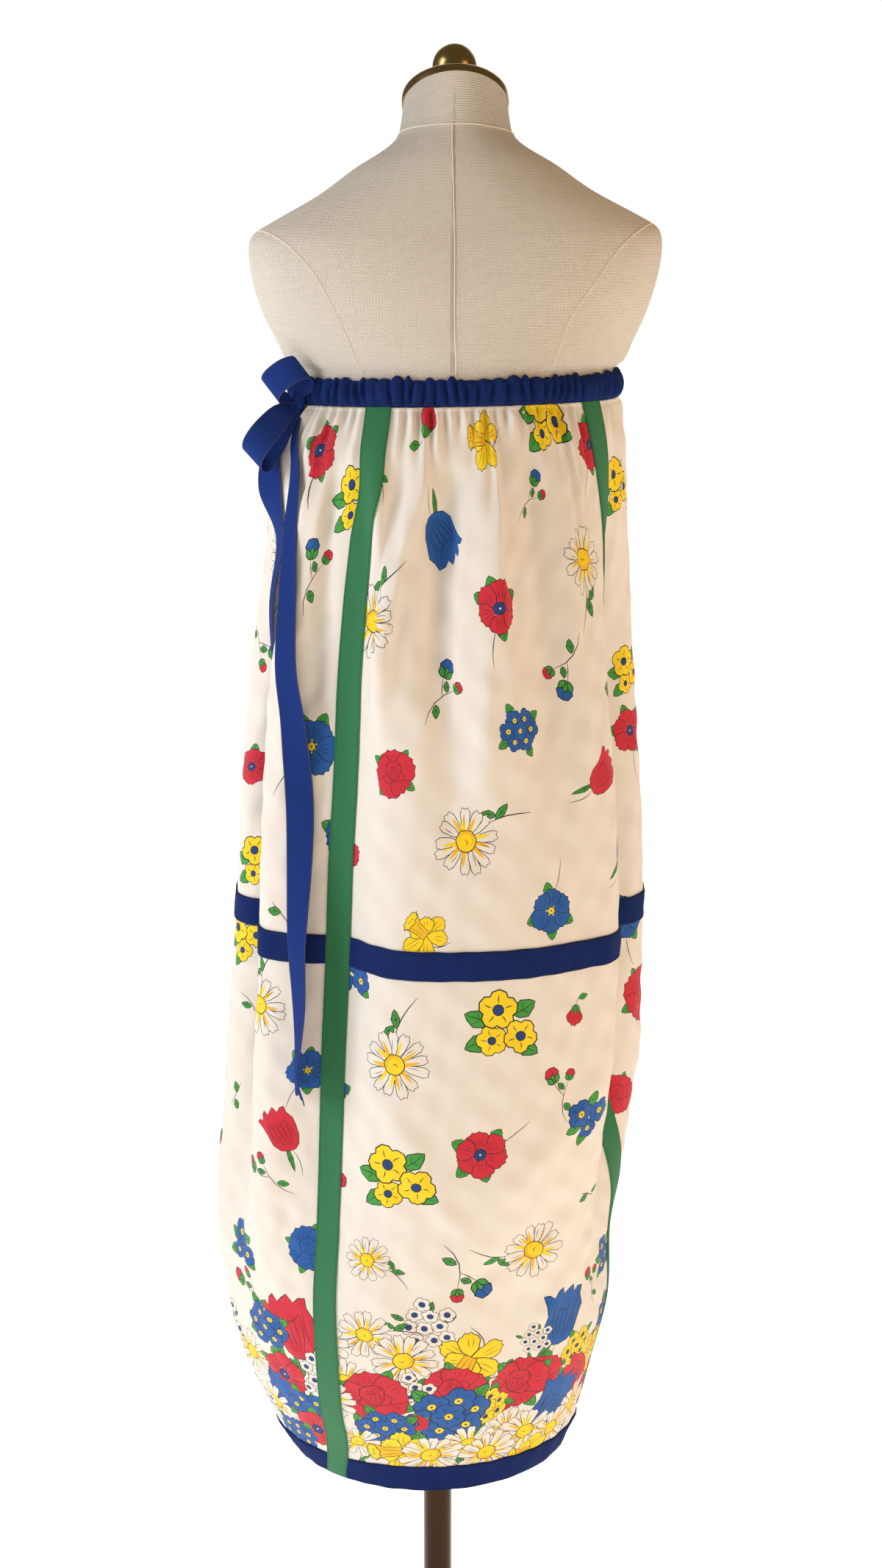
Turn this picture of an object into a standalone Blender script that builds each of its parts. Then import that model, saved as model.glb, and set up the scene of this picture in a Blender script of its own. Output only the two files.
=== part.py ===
"""Strapless maxi dress with a drawstring top edge, standing on a linen dress form.

Metres, +Z up. The origin is on the floor, on the axis of the stand's pole.
The form's back faces -Y, so the photographed side is the one seen from -Y.
"""
import math
from collections import namedtuple

import bpy
from mathutils import Vector

# Heights above the floor
CASING_TOP = 1.503
CASING_BOTTOM = 1.478
MIDBAND_TOP = 0.9915
MIDBAND_BOTTOM = 0.9635
HEMBAND_TOP = 0.385
HEM = 0.355

# Cloth and trim
GAP = 0.0003
CLOTH = 0.0012
TRIM = 0.0010
RIBBON_WIDTH = 0.025
DRAWSTRING_WIDTH = 0.027
SEAM_HALF = GAP / 2
BAND_HALF = RIBBON_WIDTH / 2
GATHERS_PER_PANEL = 18
GATHER_DEPTH = 0.0022
GATHER_END = 1.388
GATHER_SWAY = 0.30
TOP_LEAN = 0.016
CASING_BACKING = 0.0020
CASING_UNEVEN = 0.4
LEAN_START = 1.15

# Dress form and stand
FORM_X = 0.01715
FORM_LEAN = 0.018
FORM_LEAN_START = 1.510
FORM_SEGMENTS = 40
NECK_TILT = math.radians(28)
NECK_TOP = 1.7440
NECK_RADIUS = 0.0485
CAP_RADIUS = 0.0505
CAP_HEIGHT = 0.0130
CAP_EDGE = (0.0010, 0.0030)
KNOB_RADIUS = 0.0208
KNOB_CENTRE = 0.0395
KNOB_START = 24.0
KNOB_TURN = 20.5
KNOB_RINGS = 8
POLE_RADIUS = 0.0157
COLLAR_TOP = 0.048
COLLAR_NECK = 0.0205
BASE_RADIUS = 0.160
BASE_HEIGHT = 0.012
BASE_BEVEL = (0.004, 0.003)

# The bow, on the casing at the photographed side's left
BOW_ANGLE = -70.0
BOW_HEIGHT = 1.4800
BOW_STANDOFF = 0.0090
KNOT_HALF = Vector((0.0045, 0.0080, 0.0100))
KNOT_RINGS = 6
KNOT_SIDES = 12
KNOT_SQUARENESS = 0.7
LOOP_END_WIDTH = 0.42
LOOP_NECK_WIDTH = 0.85
TAIL_TOP_WIDTH = 0.0080
TAIL_TOP_OFFSET = 0.0044
TAIL_TOP_DROP = 0.0008

# The dress, seen as horizontal sections. left, right, back and front are reaches from the
# pole's axis, and square is the exponent of the rounded outline, 2 for an ellipse.
Section = namedtuple("Section", "height left right back front square")
SECTIONS = (
    Section(1.478, 0.1378, 0.1721, 0.1180, 0.1190, 2.00),
    Section(1.445, 0.1590, 0.1793, 0.1350, 0.1480, 2.05),
    Section(1.411, 0.1639, 0.1831, 0.1470, 0.1620, 2.10),
    Section(1.357, 0.1659, 0.1877, 0.1620, 0.1730, 2.15),
    Section(1.300, 0.1739, 0.1917, 0.1760, 0.1800, 2.20),
    Section(1.216, 0.1863, 0.1972, 0.1920, 0.1890, 2.30),
    Section(1.072, 0.1991, 0.2067, 0.2110, 0.2000, 2.40),
    Section(0.967, 0.2058, 0.2103, 0.2190, 0.2050, 2.40),
    Section(0.851, 0.2175, 0.2103, 0.2240, 0.2080, 2.35),
    Section(0.761, 0.2241, 0.2041, 0.2230, 0.2070, 2.30),
    Section(0.692, 0.2285, 0.1955, 0.2160, 0.2030, 2.25),
    Section(0.622, 0.2273, 0.1844, 0.2050, 0.1960, 2.20),
    Section(0.537, 0.2205, 0.1839, 0.1860, 0.1800, 2.15),
    Section(0.459, 0.2042, 0.1692, 0.1600, 0.1560, 2.10),
    Section(0.385, 0.1800, 0.1535, 0.1250, 0.1220, 2.05),
    Section(0.355, 0.1625, 0.1415, 0.1215, 0.1190, 2.00),
)

# The casing's outer rows: out is the stand-off from the cloth's outline, pucker its gathers
CasingRow = namedtuple("CasingRow", "height out pucker")
CASING_ROWS = (
    CasingRow(CASING_TOP, 0.0012, 0.0008),
    CasingRow((CASING_TOP + CASING_BOTTOM) / 2, 0.0036, 0.0014),
    CasingRow(CASING_BOTTOM, 0.0014, 0.0008),
)

# Where the four lengthwise seams run, in degrees round the axis from the middle of the back
Seams = namedtuple("Seams", "height backLeft backRight frontRight frontLeft")
SEAMS = (
    Seams(1.478, -34.5, 61.0, 148.0, 238.0),
    Seams(1.357, -28.5, 61.0, 147.0, 236.0),
    Seams(1.216, -29.0, 60.0, 146.0, 235.0),
    Seams(0.967, -29.0, 59.0, 145.0, 234.0),
    Seams(0.790, -28.0, 66.0, 146.0, 235.0),
    Seams(0.622, -26.5, 78.0, 150.0, 236.0),
    Seams(0.440, -34.0, 88.0, 155.0, 236.0),
    Seams(0.355, -46.0, 92.0, 158.0, 236.0),
)

# The largest folds. angles are degrees round the axis at the fold's top and bottom ends,
# width is half the fold's width in degrees, and depth is positive for a ridge.
Fold = namedtuple("Fold", "name top bottom topAngle bottomAngle width depth")
FOLDS = (
    Fold("left side fold", 1.470, 0.600, -77.0, -62.0, 8.5, -0.053),
    Fold("edge of the left side fold", 1.450, 0.640, -61.0, -50.0, 7.0, 0.007),
    Fold("right side fold", 1.470, 0.600, 69.0, 63.0, 9.0, -0.051),
    Fold("edge of the right side fold", 1.340, 0.700, 46.0, 45.0, 7.0, 0.008),
    Fold("valley beside the back left seam", 1.440, 0.520, -31.0, -27.0, 12.0, -0.030),
    Fold("lap beside the back left seam", 1.475, 1.200, -29.0, -19.0, 4.0, 0.008),
    Fold("ridge right of the middle", 1.460, 1.080, 11.0, 12.0, 4.5, 0.007),
    Fold("valley left of the middle", 1.460, 1.180, -4.0, -3.0, 5.0, -0.006),
    Fold("gather left of the seam", 1.470, 1.250, -43.0, -44.0, 4.5, 0.006),
    Fold("front left fold", 1.300, 0.560, -121.0, -118.0, 9.0, -0.040),
    Fold("front right fold", 1.340, 0.600, 119.0, 117.0, 9.0, -0.042),
    Fold("front valley", 1.320, 0.640, 172.0, 176.0, 11.0, -0.024),
    Fold("front ridge", 1.400, 0.900, 198.0, 202.0, 7.0, 0.010),
    Fold("low ridge on the left", 0.760, 0.400, -84.0, -70.0, 8.0, 0.008),
    Fold("low valley on the back", 0.700, 0.380, 20.0, 34.0, 9.0, -0.010),
)

# Rows of the panels, top to bottom. The first rows hold the gathers.
GATHER_ROWS = (CASING_BOTTOM - GAP, 1.458, 1.428, GATHER_END)
PLAIN_ROWS = (
    1.335, 1.275, 1.205, 1.130, 1.055, MIDBAND_TOP, MIDBAND_BOTTOM, 0.900, 0.835,
    0.770, 0.705, 0.640, 0.580, 0.520, 0.465, 0.420, HEMBAND_TOP, HEM,
)

# The dress form's sections, from its underside to the neck. rise is the slope of a ring's
# plane, up towards the form's back.
FormSection = namedtuple("FormSection", "height half back front square rise")
FORM_SECTIONS = (
    FormSection(1.040, 0.1120, 0.0780, 0.0760, 2.2, 0.0),
    FormSection(1.046, 0.1260, 0.0900, 0.0870, 2.2, 0.0),
    FormSection(1.065, 0.1420, 0.1000, 0.0960, 2.2, 0.0),
    FormSection(1.120, 0.1530, 0.1080, 0.1020, 2.2, 0.0),
    FormSection(1.200, 0.1400, 0.0960, 0.0960, 2.2, 0.0),
    FormSection(1.275, 0.1200, 0.0810, 0.0900, 2.1, 0.0),
    FormSection(1.350, 0.1300, 0.0900, 0.1080, 2.1, 0.0),
    FormSection(1.420, 0.1440, 0.1040, 0.1260, 2.1, 0.0),
    FormSection(1.455, 0.1470, 0.1090, 0.1230, 2.0, 0.0),
    FormSection(1.474, 0.1475, 0.1105, 0.1120, 2.0, 0.0),
    FormSection(1.486, 0.1522, 0.1153, 0.1162, 2.0, 0.0),
    FormSection(1.508, 0.1522, 0.1153, 0.1162, 2.0, 0.0),
    FormSection(1.514, 0.1610, 0.1170, 0.1110, 2.0, 0.0),
    FormSection(1.534, 0.1705, 0.1180, 0.1040, 2.1, 0.0),
    FormSection(1.555, 0.1805, 0.1170, 0.0960, 2.2, 0.0),
    FormSection(1.580, 0.1890, 0.1150, 0.0880, 2.3, 0.0),
    FormSection(1.606, 0.1940, 0.1090, 0.0800, 2.4, 0.0),
    FormSection(1.624, 0.1940, 0.1030, 0.0740, 2.4, 0.0),
    FormSection(1.634, 0.1890, 0.0990, 0.0710, 2.3, 0.0),
    FormSection(1.643, 0.1740, 0.0950, 0.0690, 2.2, 0.01),
    FormSection(1.667, 0.1285, 0.0850, 0.0640, 2.1, 0.03),
    FormSection(1.690, 0.0944, 0.0740, 0.0570, 2.0, 0.06),
    FormSection(1.706, 0.0660, 0.0630, 0.0520, 2.0, 0.10),
    FormSection(1.716, 0.0548, 0.0560, 0.0500, 2.0, 0.14),
    FormSection(1.727, 0.0510, 0.0520, 0.0490, 2.0, 0.28),
)

# The bow's two loops: points along the ribbon's middle from the knot, in millimetres to the
# right, up and towards the viewer, as seen from the form's back.
LoopPoint = namedtuple("LoopPoint", "right up near")
UPPER_LOOP = (
    LoopPoint(-5.6, 2.6, 4.0),
    LoopPoint(-16.0, 6.0, 8.0),
    LoopPoint(-24.0, 9.0, 11.0),
    LoopPoint(-21.0, 17.0, 18.0),
    LoopPoint(-8.0, 27.0, 22.0),
    LoopPoint(4.0, 31.0, 20.0),
    LoopPoint(8.5, 27.0, 15.0),
    LoopPoint(6.0, 17.0, 13.0),
    LoopPoint(1.0, 6.6, 6.4),
)
UPPER_LOOP_ACROSS = Vector((0.60, -0.74, 0.30))
LOWER_LOOP = (
    LoopPoint(-4.5, -4.4, 5.4),
    LoopPoint(-15.0, -13.0, 20.0),
    LoopPoint(-29.0, -28.0, 33.0),
    LoopPoint(-39.0, -42.0, 34.0),
    LoopPoint(-41.0, -52.0, 26.0),
    LoopPoint(-35.0, -54.0, 18.0),
    LoopPoint(-25.0, -42.0, 19.0),
    LoopPoint(-14.0, -25.0, 18.0),
    LoopPoint(-0.6, -7.0, 7.4),
)
LOWER_LOOP_ACROSS = Vector((0.66, -0.70, 0.25))

# The drawstring's two free ends. angle is degrees round the axis, out is the stand-off from
# the cloth, width is the ribbon's, and twist turns it off the cloth, in degrees.
TailPoint = namedtuple("TailPoint", "height angle out width twist")
FRONT_TAIL = (
    TailPoint(1.444, -60.0, 0.0040, 0.019, -8.0),
    TailPoint(1.405, -54.5, 0.0028, 0.027, 0.0),
    TailPoint(1.327, -49.5, 0.0022, 0.027, 0.0),
    TailPoint(1.247, -45.0, 0.0022, 0.027, -5.0),
    TailPoint(1.190, -42.0, 0.0022, 0.027, -15.0),
    TailPoint(1.130, -40.0, 0.0030, 0.027, -30.0),
    TailPoint(1.064, -38.4, 0.0026, 0.027, -14.0),
    TailPoint(0.988, -37.0, 0.0050, 0.027, 10.0),
    TailPoint(0.930, -35.5, 0.0040, 0.027, 24.0),
    TailPoint(0.890, -35.0, 0.0030, 0.027, 38.0),
    TailPoint(0.860, -34.9, 0.0030, 0.027, 46.0),
    TailPoint(0.833, -34.0, 0.0030, 0.027, 34.0),
)
BACK_TAIL = (
    TailPoint(1.440, -70.0, 0.0045, 0.020, -6.0),
    TailPoint(1.400, -67.0, 0.0032, 0.027, -20.0),
    TailPoint(1.350, -67.5, 0.0026, 0.027, -8.0),
    TailPoint(1.280, -68.0, 0.0024, 0.027, 0.0),
    TailPoint(1.190, -65.0, 0.0040, 0.025, 10.0),
    TailPoint(1.100, -63.0, 0.0040, 0.022, 14.0),
    TailPoint(1.000, -62.0, 0.0040, 0.020, 14.0),
    TailPoint(0.900, -61.5, 0.0040, 0.020, 10.0),
    TailPoint(0.809, -61.0, 0.0040, 0.020, 10.0),
)
TAIL_PROBES = (-0.5, -0.25, 0.0, 0.25, 0.5)
TAIL_START = 0.10
TAIL_STEP = 0.0005


def clear_scene():
    """Empty the scene without closing the file."""
    for item in list(bpy.data.objects):
        bpy.data.objects.remove(item, do_unlink=True)


def material(name, colour, roughness, metallic=0.0):
    """A Principled material of one colour."""
    made = bpy.data.materials.new(name)
    made.use_nodes = True
    shader = made.node_tree.nodes["Principled BSDF"]
    shader.inputs["Base Color"].default_value = (*colour, 1.0)
    shader.inputs["Roughness"].default_value = roughness
    shader.inputs["Metallic"].default_value = metallic
    made.diffuse_color = (*colour, 1.0)
    return made


def smooth_step(x):
    """0 below 0, 1 above 1, with soft ends."""
    x = min(max(x, 0.0), 1.0)
    return x * x * (3.0 - 2.0 * x)


def table_row(table, height):
    """The table's values at a height, on a smooth curve through its rows."""
    rows = sorted(table, key=lambda row: row.height)
    height = min(max(height, rows[0].height), rows[-1].height)
    for i in range(len(rows) - 1):
        if height <= rows[i + 1].height:
            break
    low = rows[i]
    high = rows[i + 1]
    span = high.height - low.height
    t = (height - low.height) / span
    before = rows[max(i - 1, 0)]
    after = rows[min(i + 2, len(rows) - 1)]
    values = {}
    for column in low._fields[1:]:
        a = getattr(low, column)
        b = getattr(high, column)
        slope_a = (b - getattr(before, column)) / (high.height - before.height) * span
        slope_b = (getattr(after, column) - a) / (after.height - low.height) * span
        curve = (2 * t ** 3 - 3 * t ** 2 + 1) * a + (t ** 3 - 2 * t ** 2 + t) * slope_a
        curve += (3 * t ** 2 - 2 * t ** 3) * b + (t ** 3 - t ** 2) * slope_b
        values[column] = curve
    return type(low)(height, **values)


def degrees_between(a, b):
    """The signed turn from angle b to angle a, between -180 and 180."""
    return (a - b + 180.0) % 360.0 - 180.0


def rounded_radius(angle, half_x, half_y, square):
    """Reach of a rounded outline whose exponent is square, at an angle from -Y."""
    across = abs(math.sin(math.radians(angle))) / half_x
    along = abs(math.cos(math.radians(angle))) / half_y
    return (across ** square + along ** square) ** (-1.0 / square)


def fold_depth(angle, height):
    """How far the folds move the cloth out at an angle and height."""
    total = 0.0
    for fold in FOLDS:
        if not fold.bottom < height < fold.top:
            continue
        run = (fold.top - height) / (fold.top - fold.bottom)
        strength = smooth_step(run / 0.35) * smooth_step((1.0 - run) / 0.30)
        middle = fold.bottomAngle + (fold.topAngle - fold.bottomAngle) * (1.0 - run) ** 3
        off = degrees_between(angle, middle) / fold.width
        total += fold.depth * strength * math.exp(-off * off)
    return total


def heading(angle):
    """The level direction at an angle round from the middle of the back."""
    return Vector((math.sin(math.radians(angle)), -math.cos(math.radians(angle)), 0.0))


def middle_of(section):
    """The middle of a section of the dress."""
    return Vector(((section.right - section.left) / 2, 0.0, section.height))


def cloth_radius(section, angle):
    """Reach of the cloth, folds included, from its section's middle."""
    half_x = (section.right + section.left) / 2
    half_y = section.back if abs(degrees_between(angle, 0.0)) <= 90 else section.front
    radius = rounded_radius(angle, half_x, half_y, section.square)
    return radius + fold_depth(angle, section.height)


class Outline:
    """The dress's outer face at one height, read by its length round from a seam."""

    STEP = 0.5

    def __init__(self, height):
        self.height = height
        section = table_row(SECTIONS, height)
        self.points = []
        for i in range(int(360 / self.STEP)):
            angle = i * self.STEP
            away = heading(angle)
            self.points.append(middle_of(section) + away * cloth_radius(section, angle))
        self.lengths = [0.0]
        count = len(self.points)
        for i in range(count):
            step = (self.points[(i + 1) % count] - self.points[i]).length
            self.lengths.append(self.lengths[-1] + step)
        self.whole = self.lengths[-1]

    def length_at(self, angle):
        """Length round from angle 0 to an angle, growing without end."""
        turns = math.floor(angle / 360.0)
        place = (angle - 360.0 * turns) / self.STEP
        i = int(place)
        part = place - i
        inside = self.lengths[i] * (1 - part) + self.lengths[i + 1] * part
        return turns * self.whole + inside

    def point_at(self, length):
        """Point of the outer face, and its level outward normal, at a length round."""
        length = length % self.whole
        low = 0
        high = len(self.points)
        while high - low > 1:
            middle = (low + high) // 2
            if self.lengths[middle] <= length:
                low = middle
            else:
                high = middle
        count = len(self.points)
        part = (length - self.lengths[low]) / (self.lengths[low + 1] - self.lengths[low])
        a = self.points[low]
        b = self.points[(low + 1) % count]
        before = self.points[(low - 2) % count]
        after = self.points[(low + 3) % count]
        along = (after - before).normalized()
        normal = Vector((along.y, -along.x, 0.0))
        return a.lerp(b, part), normal

    def polar(self, angle):
        """Point of the outer face at an angle round, and its outward normal."""
        return self.point_at(self.length_at(angle))


def lean(point):
    """Lift the dress's right side a little near its top edge, as it hangs."""
    amount = smooth_step((point.z - LEAN_START) / (CASING_BOTTOM - LEAN_START))
    return point + Vector((0.0, 0.0, TOP_LEAN * amount * (point.x - FORM_X)))


def seam_lengths(outline):
    """Lengths round at the four seams, in order, and the first one again."""
    row = table_row(SEAMS, outline.height)
    angles = [row.backLeft, row.backRight, row.frontRight, row.frontLeft, row.backLeft + 360.0]
    return [outline.length_at(angle) for angle in angles]


def gather_noise(panel, index):
    """A fixed uneven number between -1 and 1 for each gather."""
    return math.sin(7.31 * index + 2.9 * panel + 1.7 * math.sin(3.1 * index + panel))


def column_lengths(start, end, panel, fine):
    """Lengths round of a panel's columns: seam, ribbon edge, gathers, ribbon edge, seam."""
    inner = 2 * GATHERS_PER_PANEL if fine else GATHERS_PER_PANEL
    stride = 1 if fine else 2
    first = start + BAND_HALF
    last = end - BAND_HALF
    columns = [start + SEAM_HALF]
    if fine:
        columns.append(start + BAND_HALF / 2)
    for i in range(inner + 1):
        column = i * stride
        sway = GATHER_SWAY * gather_noise(panel, column)
        if i == 0 or i == inner:
            sway = 0.0
        place = (column + sway) / (2 * GATHERS_PER_PANEL)
        columns.append(first + (last - first) * place)
    if fine:
        columns.append(end - BAND_HALF / 2)
    columns.append(end - SEAM_HALF)
    return columns


def gather_shift(height, panel, column):
    """How far a gather's crest or valley stands from the smooth cloth."""
    if column <= 2 or column >= 2 * GATHERS_PER_PANEL + 2:
        return 0.0
    fade = smooth_step((height - GATHER_END) / (CASING_BOTTOM - GATHER_END))
    uneven = 1.0 + 0.35 * gather_noise(panel, column + 40)
    crest = 1.0 if column % 2 else -1.0
    return GATHER_DEPTH * crest * uneven * fade


def panel_row(outline, panel, fine, gathered=True):
    """Points and normals of one row of a panel's outer face."""
    seams = seam_lengths(outline)
    row = []
    lengths = column_lengths(seams[panel], seams[panel + 1], panel, fine)
    for i, length in enumerate(lengths):
        point, normal = outline.point_at(length)
        if fine and gathered:
            point = point + normal * gather_shift(outline.height, panel, i)
        row.append((point, normal))
    return row


def moved(row, distance):
    """A row of points moved out by a distance, then leaned with the dress."""
    return [lean(point + normal * distance) for point, normal in row]


def skin_faces(count_a, count_b, first_a, first_b, loop):
    """Faces between two rows, the lower of the same size or half of it."""
    faces = []
    cells_a = count_a if loop else count_a - 1
    cells_b = count_b if loop else count_b - 1
    if cells_a == cells_b:
        for i in range(cells_a):
            a = first_a + i
            a_next = first_a + (i + 1) % count_a
            b = first_b + i
            b_next = first_b + (i + 1) % count_b
            faces.append((a, b, b_next))
            faces.append((a, b_next, a_next))
        return faces
    for i in range(cells_b):
        a = first_a + 2 * i
        a_mid = first_a + 2 * i + 1
        a_next = first_a + (2 * i + 2) % count_a
        b = first_b + i
        b_next = first_b + (i + 1) % count_b
        faces.append((a, b, a_mid))
        faces.append((a_mid, b, b_next))
        faces.append((a_mid, b_next, a_next))
    return faces


def wall(name, outer, inner, finish, loop=False):
    """A closed wall between an outer and an inner set of rows, top to bottom."""
    points = []
    faces = []
    starts = {}
    for side, rows in (("outer", outer), ("inner", inner)):
        starts[side] = []
        for row in rows:
            starts[side].append(len(points))
            points.extend(row)
    for side, rows in (("outer", outer), ("inner", inner)):
        for i in range(len(rows) - 1):
            count_a = len(rows[i])
            count_b = len(rows[i + 1])
            skin = skin_faces(count_a, count_b, starts[side][i], starts[side][i + 1], loop)
            if side == "inner":
                skin = [tuple(reversed(face)) for face in skin]
            faces.extend(skin)
    top = skin_faces(len(outer[0]), len(inner[0]), starts["outer"][0], starts["inner"][0], loop)
    faces.extend(tuple(reversed(face)) for face in top)
    bottom = skin_faces(
        len(outer[-1]), len(inner[-1]), starts["outer"][-1], starts["inner"][-1], loop)
    faces.extend(bottom)
    if not loop:
        for i in range(len(outer) - 1):
            a = starts["outer"][i]
            b = starts["outer"][i + 1]
            c = starts["inner"][i]
            d = starts["inner"][i + 1]
            faces.append((a, c, d, b))
            a += len(outer[i]) - 1
            b += len(outer[i + 1]) - 1
            c += len(inner[i]) - 1
            d += len(inner[i + 1]) - 1
            faces.append((a, b, d, c))
    return solid(name, points, faces, finish)


def solid(name, points, faces, finish):
    """An object from points and faces, with sharp edges kept."""
    mesh = bpy.data.meshes.new(name)
    mesh.from_pydata([tuple(point) for point in points], [], faces)
    mesh.update()
    mesh.shade_smooth()
    mesh.set_sharp_from_angle(angle=math.radians(35))
    mesh.materials.append(finish)
    item = bpy.data.objects.new(name, mesh)
    bpy.context.scene.collection.objects.link(item)
    return item


def turned(name, profile, centre, axis, segments, finish):
    """A solid turned about an axis through a centre, from (radius, along) pairs."""
    turn = Vector((0.0, 0.0, 1.0)).rotation_difference(axis)
    points = []
    faces = []
    for radius, along in profile:
        for i in range(segments):
            angle = 2 * math.pi * i / segments
            local = Vector((radius * math.cos(angle), radius * math.sin(angle), along))
            points.append(centre + turn @ local)
    for i in range(len(profile) - 1):
        for j in range(segments):
            a = i * segments + j
            b = i * segments + (j + 1) % segments
            faces.append((a, b, b + segments, a + segments))
    faces.append(tuple(reversed(range(segments))))
    last = (len(profile) - 1) * segments
    faces.append(tuple(range(last, last + segments)))
    return solid(name, points, faces, finish)


def build_panels(cotton):
    """The four cloth panels, and their rows for what lies on them."""
    heights = list(GATHER_ROWS) + list(PLAIN_ROWS)
    outlines = {height: Outline(height) for height in heights}
    rows = {}
    for panel, name in enumerate(("panel_back", "panel_right", "panel_front", "panel_left")):
        outer = []
        inner = []
        for height in heights:
            fine = height in GATHER_ROWS
            row = panel_row(outlines[height], panel, fine)
            rows[panel, height] = row
            outer.append(moved(row, 0.0))
            inner.append(moved(row, -CLOTH))
        wall(name, outer, inner, cotton)
    return rows


def build_green_bands(rows, grosgrain):
    """A ribbon over each lengthwise seam, from the casing to the hem."""
    heights = list(GATHER_ROWS) + list(PLAIN_ROWS)
    names = ("band_back_left", "band_back_right", "band_front_right", "band_front_left")
    for panel, name in enumerate(names):
        outer = []
        inner = []
        for height in heights:
            edge = 3 if height in GATHER_ROWS else 2
            before = rows[(panel - 1) % 4, height][-edge:]
            after = rows[panel, height][:edge]
            seam = (before[-1][0].lerp(after[0][0], 0.5), after[0][1])
            strip = before[:-1] + [seam] + after[1:]
            outer.append(moved(strip, GAP + TRIM))
            inner.append(moved(strip, GAP))
        wall(name, outer, inner, grosgrain)


def build_cross_bands(rows, prefix, top, bottom, navy_cotton):
    """A navy band across each panel, between the lengthwise ribbons."""
    for panel, side in enumerate(("back", "right", "front", "left")):
        outer = []
        inner = []
        for height in (top, bottom):
            row = list(rows[panel, height][1:-1])
            row[0] = inset(row[0], row[1])
            row[-1] = inset(row[-1], row[-2])
            outer.append(moved(row, GAP + TRIM))
            inner.append(moved(row, GAP))
        wall(prefix + side, outer, inner, navy_cotton)


def inset(end, neighbour):
    """An end point moved by the gap towards its neighbour."""
    step = GAP / (neighbour[0] - end[0]).length
    return end[0].lerp(neighbour[0], step), end[1]


def build_casing(navy_cotton):
    """The gathered drawstring casing along the top edge."""
    outline = Outline(CASING_BOTTOM)
    outer_rows = []
    for casing_row in CASING_ROWS:
        row = []
        for panel in range(4):
            points = panel_row(outline, panel, True, gathered=False)
            for i, (point, normal) in enumerate(points[:-1]):
                crest = 1.0 if i % 2 else -1.0
                uneven = 1.0 + CASING_UNEVEN * gather_noise(panel, i)
                out = casing_row.out + casing_row.pucker * crest * uneven
                place = Vector((point.x, point.y, casing_row.height))
                row.append(lean(place + normal * out))
        outer_rows.append(row)
    inner_rows = []
    for height in (CASING_TOP, CASING_BOTTOM):
        row = []
        for panel in range(4):
            for point, normal in panel_row(outline, panel, False)[:-1]:
                row.append(lean(Vector((point.x, point.y, height)) - normal * CASING_BACKING))
        inner_rows.append(row)
    wall("casing", outer_rows, inner_rows, navy_cotton, loop=True)


def ribbon(name, stations, finish):
    """A flat strip along stations, each a middle point and a vector across the strip."""
    outer = []
    inner = []
    for i, (middle, across) in enumerate(stations):
        before = stations[max(i - 1, 0)][0]
        after = stations[min(i + 1, len(stations) - 1)][0]
        normal = (after - before).cross(across).normalized() * (TRIM / 2)
        ends = (middle - across / 2, middle + across / 2)
        outer.append([end + normal for end in ends])
        inner.append([end - normal for end in ends])
    return wall(name, outer, inner, finish)


def loop_stations(knot, points, across):
    """Stations of a bow loop, its ribbon drawn in where it enters the knot."""
    unit = across.normalized()
    level = Vector((unit.x, -unit.z, unit.y))
    last = len(points) - 1
    narrowing = {0: LOOP_END_WIDTH, 1: LOOP_NECK_WIDTH}
    stations = []
    for i, point in enumerate(points):
        middle = knot + Vector((point.right, -point.near, point.up)) / 1000
        drawn_in = narrowing.get(min(i, last - i), 1.0)
        stations.append((middle, level * DRAWSTRING_WIDTH * drawn_in))
    return stations


def clearance(point):
    """How far a point stands off the cloth, level with it."""
    section = table_row(SECTIONS, point.z)
    off = point - middle_of(section)
    angle = math.degrees(math.atan2(off.x, -off.y))
    return off.length - cloth_radius(section, angle)


def tail_stations(top, points):
    """Stations of a free end that hangs down the cloth, its nearest edge off it by out."""
    stations = [top]
    for point in points:
        section = table_row(SECTIONS, point.height)
        away = heading(point.angle)
        along = heading(point.angle + 90.0)
        twist = math.radians(point.twist)
        across = (along * math.cos(twist) + away * math.sin(twist)) * point.width
        middle = middle_of(section) + away * TAIL_START
        while min(clearance(middle + across * side) for side in TAIL_PROBES) < point.out:
            middle = middle + away * TAIL_STEP
        stations.append((lean(middle), across))
    return stations


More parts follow.
